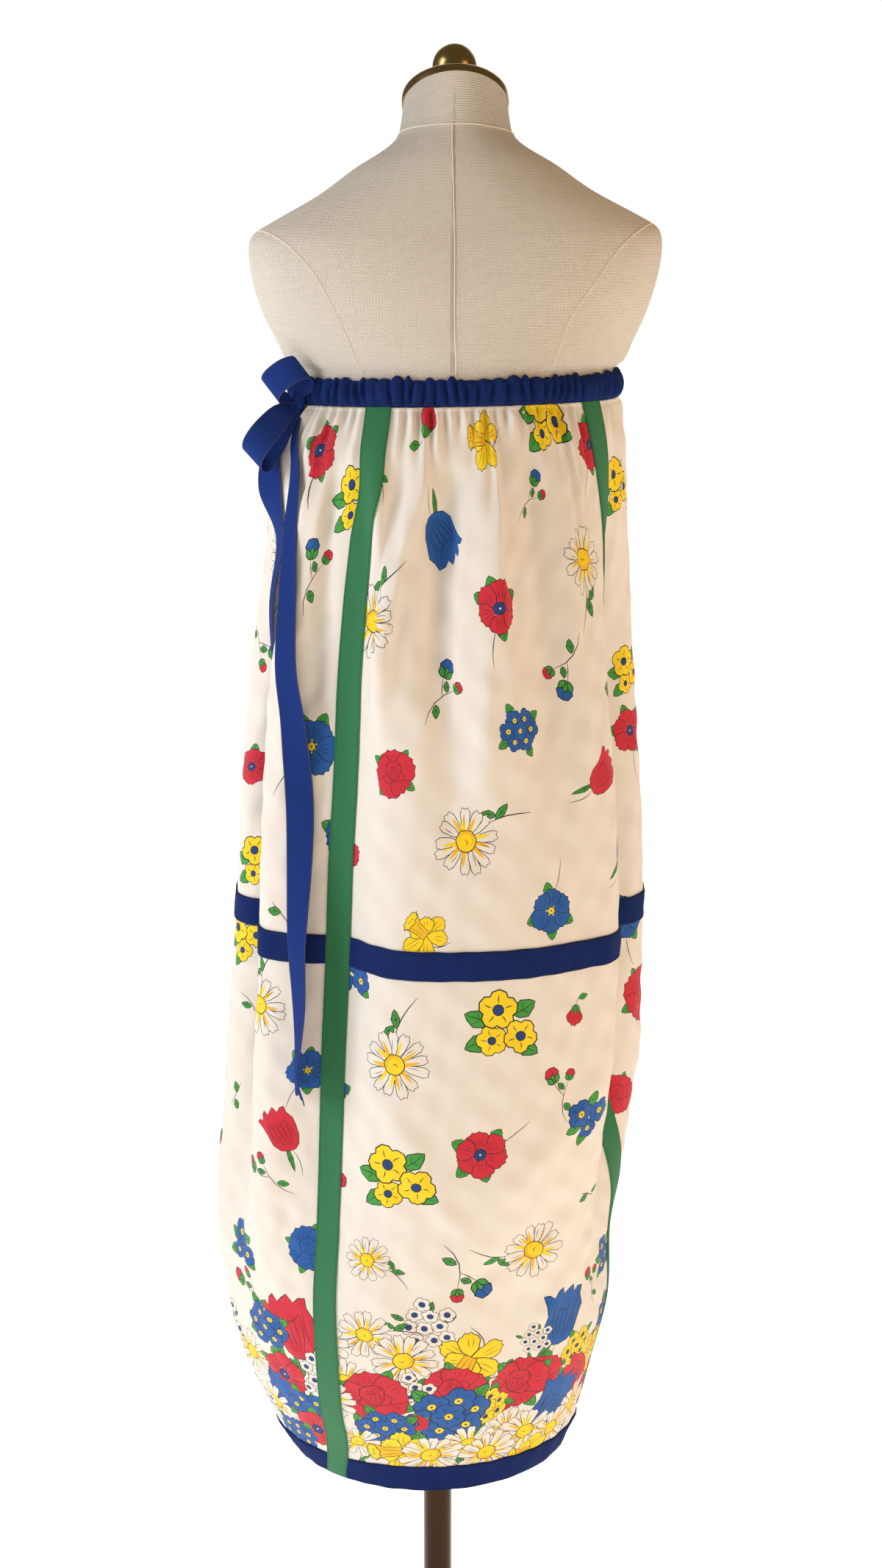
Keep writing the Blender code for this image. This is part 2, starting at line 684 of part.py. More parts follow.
def build_bow(navy_cotton):
    """The drawstring's bow: knot, two loops and two hanging ends."""
    casing_place, normal = Outline(CASING_BOTTOM).polar(BOW_ANGLE)
    knot = Vector((casing_place.x, casing_place.y, BOW_HEIGHT)) + normal * BOW_STANDOFF
    along = Vector((-normal.y, normal.x, 0.0))
    up = Vector((0.0, 0.0, 1.0))
    points = []
    faces = []
    for i in range(1, KNOT_RINGS):
        polar = math.pi * i / KNOT_RINGS
        reach = math.sin(polar) ** KNOT_SQUARENESS
        for j in range(KNOT_SIDES):
            turn = 2 * math.pi * j / KNOT_SIDES
            local = normal * KNOT_HALF.x * reach * math.cos(turn)
            local = local + along * KNOT_HALF.y * reach * math.sin(turn)
            points.append(knot + local + up * KNOT_HALF.z * math.cos(polar))
    for i in range(KNOT_RINGS - 2):
        for j in range(KNOT_SIDES):
            a = i * KNOT_SIDES + j
            b = i * KNOT_SIDES + (j + 1) % KNOT_SIDES
            faces.append((a, a + KNOT_SIDES, b + KNOT_SIDES, b))
    faces.append(tuple(range(KNOT_SIDES)))
    last = (KNOT_RINGS - 2) * KNOT_SIDES
    faces.append(tuple(reversed(range(last, last + KNOT_SIDES))))
    solid("bow_knot", points, faces, navy_cotton)
    ribbon("bow_loop_upper", loop_stations(knot, UPPER_LOOP, UPPER_LOOP_ACROSS), navy_cotton)
    ribbon("bow_loop_lower", loop_stations(knot, LOWER_LOOP, LOWER_LOOP_ACROSS), navy_cotton)
    foot = KNOT_HALF.z * math.cos(math.pi / KNOT_RINGS)
    underside = knot - up * (foot + TAIL_TOP_DROP)
    across = along * TAIL_TOP_WIDTH
    front_top = (underside + along * TAIL_TOP_OFFSET, across)
    back_top = (underside - along * TAIL_TOP_OFFSET, across)
    ribbon("bow_tail_front", tail_stations(front_top, FRONT_TAIL), navy_cotton)
    ribbon("bow_tail_back", tail_stations(back_top, BACK_TAIL), navy_cotton)


def form_lean(point):
    """Lift the form's right shoulder a little, as it sits on its pole."""
    amount = smooth_step((point.z - FORM_LEAN_START) / 0.08)
    return point + Vector((0.0, 0.0, FORM_LEAN * amount * (point.x - FORM_X)))


def build_form(linen):
    """The dress form, from hip to neck."""
    neck = FormSection(NECK_TOP, NECK_RADIUS, 0.0500, 0.0500, 2.0, math.tan(NECK_TILT))
    points = []
    faces = []
    rows = list(FORM_SECTIONS) + [neck]
    for section in rows:
        for i in range(FORM_SEGMENTS):
            angle = 360.0 * i / FORM_SEGMENTS
            half_y = section.back if abs(degrees_between(angle, 0.0)) <= 90 else section.front
            radius = rounded_radius(angle, section.half, half_y, section.square)
            x = FORM_X + radius * math.sin(math.radians(angle))
            y = -radius * math.cos(math.radians(angle))
            points.append(form_lean(Vector((x, y, section.height - section.rise * y))))
    for i in range(len(rows) - 1):
        for j in range(FORM_SEGMENTS):
            a = i * FORM_SEGMENTS + j
            b = i * FORM_SEGMENTS + (j + 1) % FORM_SEGMENTS
            faces.append((a, b, b + FORM_SEGMENTS, a + FORM_SEGMENTS))
    faces.append(tuple(reversed(range(FORM_SEGMENTS))))
    last = (len(rows) - 1) * FORM_SEGMENTS
    faces.append(tuple(range(last, last + FORM_SEGMENTS)))
    solid("form_torso", points, faces, linen)


def build_cap(metal):
    """The neck cap and its knob, square to the neck's sloping top."""
    axis = Vector((-FORM_LEAN, math.tan(NECK_TILT), 1.0)).normalized()
    centre = Vector((FORM_X, 0.0, NECK_TOP))
    inset_by, rise = CAP_EDGE
    cap = (
        (CAP_RADIUS - inset_by, GAP), (CAP_RADIUS, rise), (CAP_RADIUS - 0.0006, 2 * rise),
        (CAP_RADIUS - 0.0040, 3 * rise), (CAP_RADIUS * 0.6, CAP_HEIGHT - 0.0012),
        (CAP_RADIUS * 0.28, CAP_HEIGHT),
    )
    turned("neck_cap", cap, centre, axis, 32, metal)
    knob = [(0.0120, CAP_HEIGHT + GAP), (0.0105, CAP_HEIGHT + 0.0050)]
    for i in range(1, KNOB_RINGS):
        polar = math.radians(KNOB_START + KNOB_TURN * i)
        along = KNOB_CENTRE - KNOB_RADIUS * math.cos(polar)
        knob.append((KNOB_RADIUS * math.sin(polar), along))
    turned("cap_finial", knob, centre, axis, 24, metal)


def build_stand(metal):
    """The pole and its round base."""
    up = Vector((0.0, 0.0, 1.0))
    origin = Vector((0.0, 0.0, 0.0))
    bevel, depth = BASE_BEVEL
    base = (
        (BASE_RADIUS, 0.0), (BASE_RADIUS, BASE_HEIGHT - depth), (BASE_RADIUS - bevel, BASE_HEIGHT),
    )
    turned("base_disc", base, origin, up, 48, metal)
    collar = (
        (0.0300, BASE_HEIGHT + GAP), (0.0300, 0.0220), (COLLAR_NECK + 0.0005, 0.0340),
        (COLLAR_NECK, COLLAR_TOP),
    )
    turned("pole_collar", collar, origin, up, 24, metal)
    pole = ((POLE_RADIUS, COLLAR_TOP + GAP), (POLE_RADIUS, FORM_SECTIONS[0].height - GAP))
    turned("stand_pole", pole, origin, up, 24, metal)


def main():
    """Build every piece."""
    clear_scene()
    cotton = material("printed white cotton", (0.86, 0.83, 0.76), 0.85)
    navy_cotton = material("navy cotton", (0.013, 0.03, 0.17), 0.8)
    grosgrain = material("green grosgrain ribbon", (0.025, 0.19, 0.07), 0.7)
    linen = material("cream linen", (0.66, 0.56, 0.43), 0.9)
    metal = material("dark bronze metal", (0.12, 0.09, 0.05), 0.3, 1.0)
    rows = build_panels(cotton)
    build_green_bands(rows, grosgrain)
    build_cross_bands(rows, "midband_", MIDBAND_TOP, MIDBAND_BOTTOM, navy_cotton)
    build_cross_bands(rows, "hemband_", HEMBAND_TOP, HEM, navy_cotton)
    build_casing(navy_cotton)
    build_bow(navy_cotton)
    build_form(linen)
    build_cap(metal)
    build_stand(metal)


main()
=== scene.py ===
import math
import random

import bpy
import numpy as np
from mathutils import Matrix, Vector
from mathutils.bvhtree import BVHTree
from mathutils.geometry import delaunay_2d_cdt


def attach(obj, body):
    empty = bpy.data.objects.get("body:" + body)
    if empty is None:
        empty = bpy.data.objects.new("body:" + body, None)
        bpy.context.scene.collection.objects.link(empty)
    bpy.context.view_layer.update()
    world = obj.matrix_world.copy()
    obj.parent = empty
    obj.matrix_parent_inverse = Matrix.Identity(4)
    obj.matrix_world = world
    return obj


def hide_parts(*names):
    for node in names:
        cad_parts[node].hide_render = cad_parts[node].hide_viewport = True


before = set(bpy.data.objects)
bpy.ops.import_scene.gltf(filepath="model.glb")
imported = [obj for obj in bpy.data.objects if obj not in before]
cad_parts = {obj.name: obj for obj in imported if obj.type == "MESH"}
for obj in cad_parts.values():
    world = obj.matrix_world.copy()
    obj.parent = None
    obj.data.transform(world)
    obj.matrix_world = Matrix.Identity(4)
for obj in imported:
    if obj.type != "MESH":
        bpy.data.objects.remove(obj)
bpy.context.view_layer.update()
print("frame loaded")

casingTop, casingBottom = 1.503, 1.478
midBand = (0.9915, 0.9635)
hemBand = (0.385, 0.355)
seamGap = 0.0003
bandHalf = 0.0125
formX = 0.01715

# The dress seen as horizontal sections: height, reach left, right, back and front, squareness
dressSections = [
    (1.478, 0.1378, 0.1721, 0.1180, 0.1190, 2.00),
    (1.445, 0.1590, 0.1793, 0.1350, 0.1480, 2.05),
    (1.411, 0.1639, 0.1831, 0.1470, 0.1620, 2.10),
    (1.357, 0.1659, 0.1877, 0.1620, 0.1730, 2.15),
    (1.300, 0.1739, 0.1917, 0.1760, 0.1800, 2.20),
    (1.216, 0.1863, 0.1972, 0.1920, 0.1890, 2.30),
    (1.072, 0.1991, 0.2067, 0.2110, 0.2000, 2.40),
    (0.967, 0.2058, 0.2103, 0.2190, 0.2050, 2.40),
    (0.851, 0.2175, 0.2103, 0.2240, 0.2080, 2.35),
    (0.761, 0.2241, 0.2041, 0.2230, 0.2070, 2.30),
    (0.692, 0.2285, 0.1955, 0.2160, 0.2030, 2.25),
    (0.622, 0.2273, 0.1844, 0.2050, 0.1960, 2.20),
    (0.537, 0.2205, 0.1839, 0.1860, 0.1800, 2.15),
    (0.459, 0.2042, 0.1692, 0.1600, 0.1560, 2.10),
    (0.385, 0.1800, 0.1535, 0.1250, 0.1220, 2.05),
    (0.355, 0.1625, 0.1415, 0.1215, 0.1190, 2.00),
]

# Where the four lengthwise seams run, in degrees round from the middle of the back
seamAngles = [
    (1.478, -33.6, 61.0, 148.0, 238.0),
    (1.449, -28.6, 61.0, 147.8, 237.5),
    (1.407, -26.4, 61.0, 147.4, 237.0),
    (1.357, -28.7, 61.0, 147.0, 236.0),
    (1.216, -29.3, 60.0, 146.0, 235.0),
    (0.967, -29.0, 59.0, 145.0, 234.0),
    (0.790, -28.0, 66.0, 146.0, 235.0),
    (0.622, -26.5, 78.0, 150.0, 236.0),
    (0.440, -34.0, 88.0, 155.0, 236.0),
    (0.355, -46.0, 92.0, 158.0, 236.0),
]

# The big folds: top, bottom, angle at the top and bottom, half width in degrees, depth
bigFolds = [
    (1.470, 0.600, -77.0, -62.0, 8.5, -0.053),  # left side
    (1.450, 0.640, -61.0, -50.0, 7.0, 0.007),  # its edge
    (1.470, 0.600, 69.0, 63.0, 9.0, -0.051),  # right side
    (1.340, 0.700, 46.0, 45.0, 7.0, 0.008),  # its edge
    (1.440, 0.520, -31.0, -27.0, 12.0, -0.030),  # beside the back left seam
    (1.475, 1.180, -29.0, -19.0, 4.0, 0.010),  # lap beside that seam
    (1.460, 1.080, 11.0, 12.0, 4.5, 0.010),
    (1.460, 1.180, -4.0, -3.0, 5.0, -0.009),
    (1.470, 1.200, -43.0, -44.0, 4.5, 0.009),
    (1.300, 0.560, -121.0, -118.0, 9.0, -0.040),  # front left
    (1.340, 0.600, 119.0, 117.0, 9.0, -0.042),  # front right
    (1.320, 0.640, 172.0, 176.0, 11.0, -0.024),
    (1.400, 0.900, 198.0, 202.0, 7.0, 0.010),
    (0.760, 0.400, -84.0, -70.0, 8.0, 0.008),
    (0.700, 0.380, 20.0, 34.0, 9.0, -0.010),
]

# Creases, listed one by one: panel, place across and height at both ends, half width, depth
creases = [
    (0, 0.33, 1.470, 0.31, 1.06, 0.015, -0.0090),
    (0, 0.50, 1.470, 0.49, 1.08, 0.011, 0.0072),
    (0, 0.62, 1.470, 0.61, 1.14, 0.013, -0.0075),
    (0, 0.74, 1.465, 0.72, 1.02, 0.012, 0.0069),
    (0, 0.18, 1.470, 0.13, 1.12, 0.011, 0.0078),
    (0, 0.09, 1.460, 0.10, 1.20, 0.009, -0.0045),
    (0, 0.40, 0.72, 0.86, 0.88, 0.016, 0.0031),
    (0, 0.30, 0.62, 0.74, 0.74, 0.018, -0.0034),
    (0, 0.52, 0.56, 0.90, 0.68, 0.014, 0.0031),
    (0, 0.12, 0.86, 0.46, 0.66, 0.014, 0.0031),
    (0, 0.10, 0.74, 0.36, 0.52, 0.014, -0.0031),
    (3, 0.92, 0.84, 0.70, 0.64, 0.013, 0.0042),
    (3, 0.94, 0.74, 0.72, 0.55, 0.012, -0.0039),
    (3, 0.90, 0.66, 0.66, 0.49, 0.012, 0.0036),
    (3, 0.80, 1.46, 0.83, 1.10, 0.010, 0.0072),
    (3, 0.88, 1.46, 0.90, 1.16, 0.009, -0.0066),
    (3, 0.50, 1.44, 0.47, 1.00, 0.015, 0.0053),
    (3, 0.28, 1.44, 0.30, 1.05, 0.014, -0.0053),
    (3, 0.15, 0.70, 0.46, 0.52, 0.014, 0.0036),
    (1, 0.14, 1.45, 0.12, 1.08, 0.012, 0.0045),
    (1, 0.34, 1.44, 0.36, 1.02, 0.016, -0.0053),
    (1, 0.58, 1.45, 0.60, 1.10, 0.013, 0.0051),
    (1, 0.84, 1.44, 0.82, 1.14, 0.012, -0.0045),
    (1, 0.20, 0.86, 0.52, 0.66, 0.015, 0.0039),
    (1, 0.30, 0.70, 0.60, 0.52, 0.014, -0.0036),
    (1, 0.66, 0.62, 0.88, 0.50, 0.013, 0.0036),
    (2, 0.16, 1.45, 0.18, 1.10, 0.013, 0.0048),
    (2, 0.36, 1.44, 0.33, 1.02, 0.015, -0.0051),
    (2, 0.55, 1.45, 0.56, 1.16, 0.012, 0.0045),
    (2, 0.78, 1.44, 0.80, 1.05, 0.014, -0.0051),
    (2, 0.14, 0.82, 0.42, 0.64, 0.015, 0.0036),
    (2, 0.58, 0.60, 0.88, 0.78, 0.015, 0.0036),
    (2, 0.40, 0.54, 0.70, 0.66, 0.014, -0.0034),
]

clothSettings = {
    "thickness": 0.0009,
    "rowStep": 0.002,
    "columns": 150,
    "gatherSpacing": (0.0080, 0.0150),  # metres along the casing, uneven as in hand gathering
    "gatherDepth": (0.0070, 0.0125),
    "gatherLength": (0.050, 0.190),
    "flatUnderBand": 0.0150,
    "limpness": 0.0007,  # the cloth's slight unevenness everywhere
}


def smoothStep(x):
    x = np.clip(x, 0.0, 1.0)
    return x * x * (3.0 - 2.0 * x)


def smoothTable(rows, heights):
    # one smooth curve a column through the table's rows
    rows = np.array(sorted(rows), float)
    knots, values = rows[:, 0], rows[:, 1:]
    z = np.clip(np.asarray(heights, float), knots[0], knots[-1])
    i = np.clip(np.searchsorted(knots, z) - 1, 0, len(knots) - 2)
    before, after = np.maximum(i - 1, 0), np.minimum(i + 2, len(knots) - 1)
    span = knots[i + 1] - knots[i]
    t = ((z - knots[i]) / span)[..., None]
    low, high = values[i], values[i + 1]
    slopeLow = (high - values[before]) * (span / (knots[i + 1] - knots[before]))[..., None]
    slopeHigh = (values[after] - low) * (span / (knots[after] - knots[i]))[..., None]
    curve = (2 * t**3 - 3 * t**2 + 1) * low + (t**3 - 2 * t**2 + t) * slopeLow
    return curve + (3 * t**2 - 2 * t**3) * high + (t**3 - t**2) * slopeHigh


def turnBetween(a, b):
    return (a - b + 180.0) % 360.0 - 180.0


def outlineReach(angles, height, section):
    # reach of the cloth from its middle at these angles, the big folds included
    left, right, back, front, square = section
    halfX = (left + right) / 2
    halfY = np.where(np.abs(turnBetween(angles, 0.0)) <= 90, back, front)
    across = np.abs(np.sin(np.radians(angles))) / halfX
    along = np.abs(np.cos(np.radians(angles))) / halfY
    reach = (across**square + along**square) ** (-1.0 / square)
    for top, bottom, topAngle, bottomAngle, width, depth in bigFolds:
        if bottom < height < top:
            run = (top - height) / (top - bottom)
            strength = smoothStep(run / 0.35) * smoothStep((1.0 - run) / 0.30)
            middle = bottomAngle + (topAngle - bottomAngle) * (1.0 - run) ** 3
            off = turnBetween(angles, middle) / width
            reach = reach + depth * strength * np.exp(-off * off)
    return reach


def dressLean(points):
    # the dress hangs a little higher on its right side
    points = np.array(points, float)
    amount = smoothStep((points[..., 2] - 1.15) / (casingBottom - 1.15))
    points[..., 2] += 0.016 * amount * (points[..., 0] - formX)
    return points


def gatherList(panel, topWidth):
    # ridges along the casing: place, half width, depth, length
    rng = random.Random(40 + panel)
    found = []
    place = clothSettings["flatUnderBand"]
    while place < topWidth - clothSettings["flatUnderBand"]:
        step = rng.uniform(*clothSettings["gatherSpacing"])
        length = rng.uniform(*clothSettings["gatherLength"]) * rng.choice((0.7, 1.0, 1.7))
        depth = rng.uniform(*clothSettings["gatherDepth"]) * step / 0.0115
        found.append(((place + step / 2) / topWidth, step * 0.33, depth, length))
        place += step
    return found


def outwardAt(row, lengths, ahead):
    # the level way out of the cloth at these lengths round
    dx, dy = (np.interp(lengths + ahead, row["lengths"], row[k])
              - np.interp(lengths - ahead, row["lengths"], row[k]) for k in ("x", "y"))
    size = np.hypot(dx, dy)
    return np.stack([dy / size, -dx / size, np.zeros_like(size)], -1)


def panelGrid(panel, heights, rows):
    # points and normals of one panel on an even grid: rows down, columns across
    columns = clothSettings["columns"]
    t = np.linspace(0.0, 1.0, columns + 1)
    points = np.zeros((len(heights), columns + 1, 3))
    outward = np.zeros_like(points)
    widths = np.zeros(len(heights))
    for i, (height, row) in enumerate(zip(heights, rows)):
        start, end = row["seams"][panel] + seamGap / 2, row["seams"][panel + 1] - seamGap / 2
        lengths = start + (end - start) * t
        x = np.interp(lengths, row["lengths"], row["x"])
        y = np.interp(lengths, row["lengths"], row["y"])
        points[i] = np.stack([x, y, np.full_like(x, height)], -1)
        outward[i] = outwardAt(row, lengths, 0.0022)
        widths[i] = end - start
    z = np.array(heights)[:, None]
    place = t[None, :] * widths[:, None]
    shift = np.zeros((len(heights), columns + 1))
    for centre, half, depth, length in gatherList(panel, widths[0]):
        fade = smoothStep((z - (casingBottom - length)) / length) ** 1.3
        off = (place - centre * widths[:, None]) / (half * (1.0 + 1.6 * (1.0 - fade)))
        shift += depth * fade * (np.exp(-off * off) - 0.48 * np.exp(-((off / 2.0) ** 2)))
    for number, t0, z0, t1, z1, half, depth in creases:
        if number != panel:
            continue
        level = np.argmin(np.abs(np.array(heights) - (z0 + z1) / 2))
        scale = widths[level]
        dx, dz = (t1 - t0) * scale, z1 - z0
        size = math.hypot(dx, dz)
        px, pz = (t[None, :] - t0) * scale, z - z0
        run = (px * dx + pz * dz) / (size * size)
        bend = 0.006 * np.sin(np.pi * run * 1.5 + number + t0 * 9)
        off = (px * dz - pz * dx) / size + bend
        ends = smoothStep((run + 0.04) / 0.30) * smoothStep((1.04 - run) / 0.40)
        shift += depth * ends * np.exp(-((off / half) ** 2))
    wave = np.sin(place * 190 + z * 61 + panel) * np.sin(z * 83 - place * 47 + 2 * panel)
    wave += 0.7 * np.sin(place * 95 - z * 139 + 1.3) * np.sin(z * 31 + place * 130)
    shift += clothSettings["limpness"] * wave
    shift *= 0.50 + 0.50 * smoothStep((casingBottom - z) / 0.007)
    edge = np.minimum(place, widths[:, None] - place)
    shift *= smoothStep((edge - bandHalf * 0.95) / 0.009)
    points = dressLean(points + outward * shift[..., None])
    across = np.gradient(points, axis=1)
    down = np.gradient(points, axis=0)
    normals = np.cross(down, across)
    normals /= np.linalg.norm(normals, axis=-1, keepdims=True)
    return points, normals, widths


def dressRow(height):
    # the outline at one height, by its length round, repeated past both ends
    section = smoothTable(dressSections, [height])[0]
    angles = np.arange(0.0, 360.0, 0.5)
    reach = outlineReach(angles, height, section)
    middle = (section[1] - section[0]) / 2
    x = middle + reach * np.sin(np.radians(angles))
    y = -reach * np.cos(np.radians(angles))
    steps = np.hypot(np.roll(x, -1) - x, np.roll(y, -1) - y)
    lengths = np.concatenate([[0.0], np.cumsum(steps)])
    whole = lengths[-1]
    allLengths = np.concatenate([lengths[:-1] + whole * k for k in (-1, 0, 1, 2)])
    seams = smoothTable(seamAngles, [height])[0]
    turns = np.concatenate([angles + 360.0 * k for k in (-1, 0, 1, 2)])
    wanted = np.append(seams, seams[0] + 360.0)
    return {
        "lengths": allLengths,
        "x": np.tile(x, 4),
        "y": np.tile(y, 4),
        "seams": np.interp(wanted, turns, allLengths),
        "middle": middle,
    }


gridHeights = np.arange(casingBottom - seamGap, hemBand[1] - 1e-9, -clothSettings["rowStep"])
gridHeights = np.append(gridHeights[:-1], hemBand[1])
gridRows = [dressRow(height) for height in gridHeights]
panelNames = ("panelBack", "panelRight", "panelFront", "panelLeft")
panelGrids = [panelGrid(k, gridHeights, gridRows) for k in range(4)]
print("cloth surface worked out")


def cutWidth(panel, heights):
    # the panel is cut straight from its widest level up, and gathered into the casing
    widths = panelGrids[panel][2]
    widest = widths[gridHeights < 0.97].max()
    level = np.interp(-np.asarray(heights, float), -gridHeights, widths)
    return np.where(np.asarray(heights) > 0.80, np.maximum(widest, level), level)


def onCloth(panel, t, heights, out=0.0):
    # places and normals on the cloth, moved out from it
    points, normals = panelGrids[panel][:2]
    t, heights = np.asarray(t, float), np.asarray(heights, float)
    row = np.interp(-heights, -gridHeights, np.arange(len(gridHeights)))
    column = np.clip(t, 0.0, 1.0) * clothSettings["columns"]
    i = np.clip(row.astype(int), 0, len(gridHeights) - 2)
    j = np.clip(column.astype(int), 0, clothSettings["columns"] - 1)
    a, b = (row - i)[..., None], (column - j)[..., None]
    found = []
    for grid in (points, normals):
        value = (grid[i, j] * (1 - a) + grid[i + 1, j] * a) * (1 - b)
        value = value + (grid[i, j + 1] * (1 - a) + grid[i + 1, j + 1] * a) * b
        found.append(value)
    found[1] /= np.linalg.norm(found[1], axis=-1, keepdims=True)
    return found[0] + found[1] * out, found[1]


def toLinear(hexColour):
    # an sRGB hex colour as linear values
    values = []
    for k in (1, 3, 5):
        c = int(hexColour[k:k + 2], 16) / 255
        values.append(c / 12.92 if c <= 0.04045 else ((c + 0.055) / 1.055) ** 2.4)
    return (*values, 1.0)


def addObject(name, data):
    thing = bpy.data.objects.new(name, data)
    bpy.context.scene.collection.objects.link(thing)
    return thing


def addNode(tree, kind, settings=None, links=None):
    # one node with its settings and what feeds it
    node = tree.nodes.new(kind)
    for key, value in (settings or {}).items():
        if isinstance(key, int) or key in node.inputs:
            node.inputs[key].default_value = value
        else:
            setattr(node, key, value)
    for key, source in (links or {}).items():
        tree.links.new(source, node.inputs[key])
    return node


def newMaterial(name, hexColour, roughness, **extra):
    material = bpy.data.materials.new(name)
    material.use_nodes = True
    tree = material.node_tree
    shader = tree.nodes["Principled BSDF"]
    shader.inputs["Base Color"].default_value = toLinear(hexColour)
    shader.inputs["Roughness"].default_value = roughness
    for key, value in extra.items():
        shader.inputs[key.replace("_", " ")].default_value = value
    material.diffuse_color = toLinear(hexColour)
    return material, tree, shader


def wovenFinish(name, hexColour, roughness, threads, strength, distance, **extra):
    # plain weave: warp and weft as two crossed bands on the piece's flat cloth map, in metres
    material, tree, shader = newMaterial(name, hexColour, roughness, **extra)
    flat = addNode(tree, "ShaderNodeUVMap", {"uv_map": "flatCloth"})
    weft = addNode(tree, "ShaderNodeTexWave", {
        "bands_direction": "Y", "Scale": threads[1], "Distortion": 1.4, "Detail": 2.0,
        "Detail Scale": 1.6}, {"Vector": flat.outputs["UV"]})
    warp = addNode(tree, "ShaderNodeTexWave", {
        "bands_direction": "X", "Scale": threads[0], "Distortion": 1.4, "Detail": 2.0,
        "Detail Scale": 1.6}, {"Vector": flat.outputs["UV"]})
    weave = addNode(tree, "ShaderNodeMath", {"operation": "ADD"},
                    {0: weft.outputs["Fac"], 1: warp.outputs["Fac"]})
    slubs = addNode(tree, "ShaderNodeMapping", {"Scale": (900.0, 90.0, 1.0)},
                    {"Vector": flat.outputs["UV"]})
    slubNoise = addNode(tree, "ShaderNodeTexNoise", {"Scale": 1.0, "Detail": 2.0},
                        {"Vector": slubs.outputs["Vector"]})
    both = addNode(tree, "ShaderNodeMath", {"operation": "MULTIPLY_ADD", 1: 0.9},
                   {0: slubNoise.outputs["Fac"], 2: weave.outputs["Value"]})
    bump = addNode(tree, "ShaderNodeBump", {"Strength": strength, "Distance": distance},
                   {"Height": both.outputs["Value"]})
    tree.links.new(bump.outputs["Normal"], shader.inputs["Normal"])
    wear = addNode(tree, "ShaderNodeMapRange", {
        "From Min": 0.3, "From Max": 0.7, "To Min": roughness - 0.05, "To Max": roughness + 0.05},
        {"Value": slubNoise.outputs["Fac"]})
    tree.links.new(wear.outputs["Result"], shader.inputs["Roughness"])
    return material


# Inks of the print. A pigment print sits in the yarns, so it keeps the cotton's weave and matt look.
inks = {
    "white": "#E6E0D4",
    "line": "#17171C",
    "red": "#CB2033",
    "blue": "#1659A6",
    "navy": "#173A78",
    "yellow": "#F5D417",
    "gold": "#EBB813",
    "green": "#3C9A37",
}
inkOrder = list(inks)
# Plain-weave cotton: soft and matt, thread spacing about 0.4 mm, drawn at 0.9 mm so that it shows
printFinishes = [
    wovenFinish("cotton " + ink, inks[ink], 0.86, (350.0, 350.0), 0.16, 0.0004,
                Sheen_Weight=0.10, Sheen_Roughness=0.5)
    for ink in inkOrder]

# Half outlines of a petal, from its base to its tip, as shares of its width and length
petalSides = {
    "round": [(0.00, 0.00), (0.30, 0.18), (0.49, 0.60), (0.30, 0.94)],
    "pointed": [(0.00, 0.00), (0.30, 0.18), (0.46, 0.50), (0.24, 0.84)],
    "notched": [(0.00, 0.00), (0.34, 0.28), (0.52, 0.72), (0.30, 1.00)],
    "narrow": [(0.08, 0.00), (0.40, 0.36), (0.50, 0.78), (0.28, 0.98)],
    "ruffled": [(0.00, 0.00), (0.40, 0.30), (0.55, 0.66), (0.45, 0.84), (0.28, 0.90), (0.14, 1.02)],
}
petalTips = {"round": 1.0, "pointed": 1.0, "notched": 0.86, "narrow": 0.93, "ruffled": 0.95}


def petal(kind, length, width, start=0.0):
    right = [(x * width, start + y * length) for x, y in petalSides[kind]]
    left = [(-x * width, start + y * length) for x, y in reversed(petalSides[kind][1:])]
    if kind == "narrow":
        left.append((-0.08 * width, start))
    return np.array(right + [(0.0, start + petalTips[kind] * length)] + left)


def disc(radius, count=12, lobes=0, depth=0.0):
    angles = np.arange(count) * 2 * math.pi / count
    reach = radius * (1 + depth * np.cos(angles * lobes))
    return np.stack([reach * np.cos(angles), reach * np.sin(angles)], -1)


def lobed(radius, valley, lobes=5, soft=23.0):
    # a round flower's outline: three points a lobe and one in each valley
    found = []
    for k in range(lobes):
        for turn, reach in ((-soft, radius * 0.96), (0, radius * 1.03), (soft, radius * 0.96),
                            (180.0 / lobes, radius * valley)):
            a = math.radians(360.0 / lobes * k + turn)
            found.append((reach * math.cos(a), reach * math.sin(a)))
    return np.array(found)


def turnedBy(points, degrees, dx=0.0, dy=0.0, size=1.0):
    a = math.radians(degrees)
    points = np.asarray(points, float) * size
    x = points[:, 0] * math.cos(a) - points[:, 1] * math.sin(a) + dx
    y = points[:, 0] * math.sin(a) + points[:, 1] * math.cos(a) + dy
    return np.stack([x, y], -1)


def inset(points, by):
    before, after = np.roll(points, 1, 0), np.roll(points, -1, 0)
    area = np.sum(before[:, 0] * points[:, 1] - before[:, 1] * points[:, 0])
    first, second = points - before, after - points
    first /= np.maximum(np.linalg.norm(first, axis=1, keepdims=True), 1e-9)
    second /= np.maximum(np.linalg.norm(second, axis=1, keepdims=True), 1e-9)
    along = first + second
    along /= np.maximum(np.linalg.norm(along, axis=1, keepdims=True), 1e-9)
    normal = np.stack([-along[:, 1], along[:, 0]], -1) * (1 if area > 0 else -1)
    return points + normal * by


def stroke(points, width):
    # a pen line that thins towards both ends
    points = np.asarray(points, float)
    along = np.gradient(points, axis=0)
    along /= np.maximum(np.linalg.norm(along, axis=1, keepdims=True), 1e-9)
    side = np.stack([-along[:, 1], along[:, 0]], -1)
    swell = np.sin(np.linspace(0.35, math.pi - 0.35, len(points)))[:, None] * width / 2
    return np.concatenate([points + side * swell, (points - side * swell)[::-1]])


def curve(a, b, c, count=4):
    # points on a bent line from a to c, pulled towards b
    t = np.linspace(0, 1, count)[:, None]
    a, b, c = (np.array(p, float) for p in (a, b, c))
    return (1 - t) ** 2 * a + 2 * t * (1 - t) * b + t * t * c


penWidth = 0.68  # millimetres
stemWidth = 0.85


